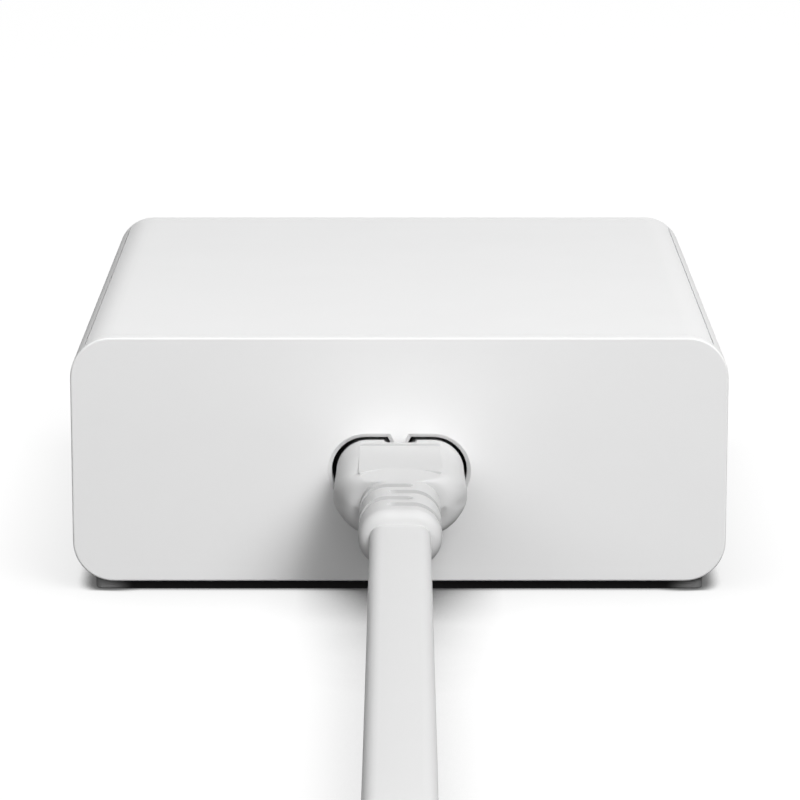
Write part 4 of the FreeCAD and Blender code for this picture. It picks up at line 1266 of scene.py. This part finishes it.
@dataclass
class Studio:
    """Plain pale floor, soft studio light and the camera at the photograph's view.

    Attributes:
        lens: Focal length of the camera, in millimetres.
        sensor: Width of the camera's sensor, in millimetres.
        camera_place: Place of the camera.
        camera_pitch: Angle of the camera from looking straight down, in degrees.
        floor_size: Length of the floor's sides.
        floor_tone: Colour of the floor to the eye, under the lamps.
        floor_return: Colour of the floor for the light that it throws back at the charger.
        floor_lift: White that the open floor adds for the eye alone; it fades where the charger is close.
        floor_reach: Distance over which the charger darkens the floor.
        contact: Openness of the floor at which contact shadow is deepest, and at which it ends.
        contact_tone: Share of the white that is left in the deepest contact shadow.
        body_shade: Strength of the shade beside the white body, which lights the floor itself.
        lead_shade: Strength of the shade under the lead.
        lead_sides: Distance from the lead's middle at which its shade starts to fade, and at which it ends.
        lead_from: Place along Y where the lead's shade starts, and where it is full.
        corner_in: Distance from the middle at which the shade under the rounded corners starts and is full.
        corner_out: Distance from the middle at which that shade starts to fade and ends.
        corner_end: Distance from the middle along Y at which that shade starts to fade and ends.
        corner_shade: How much deeper the contact shadow is under the rounded corners.
        lamps: Soft boxes round the charger.
    """

    lens: float = 176.93
    sensor: float = 36.0
    camera_place: Vector = field(default_factory=lambda: Vector((0.00008, -0.530925, 0.131)))
    camera_pitch: float = 77.685
    floor_size: float = 6.0
    floor_tone: float = 0.1
    floor_return: float = 0.06
    floor_lift: float = 0.95
    floor_reach: float = 17 * MM
    contact: tuple[float, float] = (0.12, 0.42)
    contact_tone: float = 0.16
    body_shade: float = 0.3
    lead_shade: float = 1.4
    lead_sides: tuple[float, float] = (3.5 * MM, 13.2 * MM)
    lead_from: tuple[float, float] = (-40 * MM, -46 * MM)
    corner_in: tuple[float, float] = (33 * MM, 38 * MM)
    corner_out: tuple[float, float] = (38.5 * MM, 42.5 * MM)
    corner_end: tuple[float, float] = (44.6 * MM, 46.2 * MM)
    corner_shade: float = 0.34
    lamps: tuple[SoftBox, ...] = (
        SoftBox("key", (0.45, -0.75, 0.75), 0.5, 6.6),
        SoftBox("high", (0.35, -0.45, 1.0), 0.4, 5.5),
        SoftBox("left", (-0.6, -0.8, 0.6), 0.6, 1.65),
        SoftBox("front", (0.0, -1.3, 0.5), 0.8, 5.5),
        SoftBox("back", (0.0, 0.7, 0.9), 0.8, 1.8),
    )

    def build(self) -> None:
        """Set up the floor, the world, the lamps and the camera."""
        self._floor()
        self._world()
        for lamp in self.lamps:
            lamp.hang()
        self._camera()
        bpy.context.scene.view_settings.view_transform = "Standard"

    def _floor(self) -> None:
        """Lay the floor: dull under the lamps, and white to the eye apart from the charger's shadow."""
        plane = bmesh.new()
        bmesh.ops.create_grid(plane, x_segments=1, y_segments=1, size=self.floor_size / 2)
        data = bpy.data.meshes.new("studio_floor")
        plane.to_mesh(data)
        plane.free()
        made = bpy.data.materials.new("studio_floor")
        made.use_nodes = True
        tree = made.node_tree
        tree.nodes.clear()
        path = tree.nodes.new("ShaderNodeLightPath").outputs
        pale = tree.nodes.new("ShaderNodeBsdfDiffuse")
        tone = ranged(tree, path["Is Camera Ray"], WHOLE, (self.floor_return, self.floor_tone))
        tree.links.new(tone, pale.inputs["Color"])
        nearness = tree.nodes.new("ShaderNodeAmbientOcclusion")
        nearness.inputs["Distance"].default_value = self.floor_reach
        glow = tree.nodes.new("ShaderNodeEmission")
        white = self._shade(tree, nearness.outputs["AO"])
        to_eye = reckoned(tree, "MULTIPLY", path["Is Camera Ray"], white)
        mirrored = reckoned(tree, "MAXIMUM", path["Is Glossy Ray"], path["Is Transmission Ray"])
        shown = reckoned(tree, "MAXIMUM", to_eye, mirrored)
        tree.links.new(reckoned(tree, "MULTIPLY", shown, self.floor_lift), glow.inputs["Strength"])
        both = tree.nodes.new("ShaderNodeAddShader")
        tree.links.new(pale.outputs["BSDF"], both.inputs[0])
        tree.links.new(glow.outputs["Emission"], both.inputs[1])
        out = tree.nodes.new("ShaderNodeOutputMaterial")
        tree.links.new(both.outputs["Shader"], out.inputs["Surface"])
        data.materials.append(made)
        floor = bpy.data.objects.new("studio_floor", data)
        bpy.context.scene.collection.objects.link(floor)

    def _shade(self, tree: Tree, openness: Socket) -> Socket:
        """Turn the floor's openness into its white: dark in contact, soft under the lead, pale elsewhere.

        Args:
            tree: Node tree of the floor.
            openness: Share of the sky that a spot of the floor sees.

        Returns:
            The white's socket.
        """
        place = tree.nodes.new("ShaderNodeSeparateXYZ")
        tree.links.new(tree.nodes.new("ShaderNodeTexCoord").outputs["Object"], place.inputs["Vector"])
        aside = reckoned(tree, "ABSOLUTE", place.outputs["X"], 0.0)
        under = ranged(tree, aside, self.lead_sides, (self.lead_shade, self.body_shade))
        strength = ranged(tree, place.outputs["Y"], self.lead_from, (self.body_shade, self.lead_shade))
        closed = reckoned(tree, "SUBTRACT", openness, 1.0)
        shade = reckoned(tree, "MULTIPLY", closed, reckoned(tree, "MINIMUM", under, strength))
        soft = reckoned(tree, "MAXIMUM", reckoned(tree, "ADD", shade, 1.0), 0.0)
        inwards = ranged(tree, aside, self.corner_in, (0.0, self.corner_shade))
        outwards = ranged(tree, aside, self.corner_out, (self.corner_shade, 0.0))
        along = reckoned(tree, "ABSOLUTE", place.outputs["Y"], 0.0)
        ends = ranged(tree, along, self.corner_end, (self.corner_shade, 0.0))
        corner = reckoned(tree, "MINIMUM", reckoned(tree, "MINIMUM", inwards, outwards), ends)
        left = reckoned(tree, "SUBTRACT", openness, corner)
        contact = ranged(tree, left, self.contact, (self.contact_tone, 1.0))
        return reckoned(tree, "MULTIPLY", soft, contact)

    def _world(self) -> None:
        """Surround the scene with white for the eye and for reflections, and with no light for the rest."""
        world = bpy.data.worlds.new("studio_world")
        world.use_nodes = True
        tree = world.node_tree
        unlit = tree.nodes["Background"]
        unlit.inputs["Strength"].default_value = 0.0
        white = tree.nodes.new("ShaderNodeBackground")
        white.inputs["Color"].default_value = (*grey(1.0), 1.0)
        path = tree.nodes.new("ShaderNodeLightPath").outputs
        mirrored = reckoned(tree, "MAXIMUM", path["Is Glossy Ray"], path["Is Transmission Ray"])
        blend = tree.nodes.new("ShaderNodeMixShader")
        tree.links.new(reckoned(tree, "MAXIMUM", path["Is Camera Ray"], mirrored), blend.inputs["Fac"])
        tree.links.new(unlit.outputs["Background"], blend.inputs[1])
        tree.links.new(white.outputs["Background"], blend.inputs[2])
        tree.links.new(blend.outputs["Shader"], tree.nodes["World Output"].inputs["Surface"])
        bpy.context.scene.world = world

    def _camera(self) -> None:
        """Place the camera behind the inlet, level across and looking slightly down."""
        data = bpy.data.cameras.new("camera")
        data.sensor_width = self.sensor
        data.lens = self.lens
        camera = bpy.data.objects.new("camera", data)
        camera.location = self.camera_place
        camera.rotation_euler = (math.radians(self.camera_pitch), 0.0, 0.0)
        bpy.context.scene.collection.objects.link(camera)
        bpy.context.scene.camera = camera


def dress_nodes() -> None:
    """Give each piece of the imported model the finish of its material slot."""
    for subpart in frame["record"]["subparts"]:
        node = frame["nodes"][subpart["node"]]
        node.data.materials.clear()
        node.data.materials.append(MATERIALS[subpart["material_slot"]])


def main() -> None:
    """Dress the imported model, add the pieces that it lacks, and set up the studio."""
    logging.basicConfig(level=logging.INFO, format="%(name)s: %(message)s")
    dress_nodes()
    lead = FlatLead()
    piece, line = lead.build()
    on_lead = [AppliancePlug().build(), WallPlug().build(), CoilTie().build()]
    on_lead += [frame["nodes"][name] for name in ("contact_sleeve_left", "contact_sleeve_right",
                                                  "plug_blade_left", "plug_blade_right")]
    tuple(lead.run[0])
    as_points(line)
    for number in (1, 2):
        PortContacts(f"usb_a_tongue_{number}", Port.TYPE_A).build()
        PortContacts(f"usb_c_tongue_{number}", Port.TYPE_C).build()
    Studio().build()


if __name__ == "__main__":
    main()
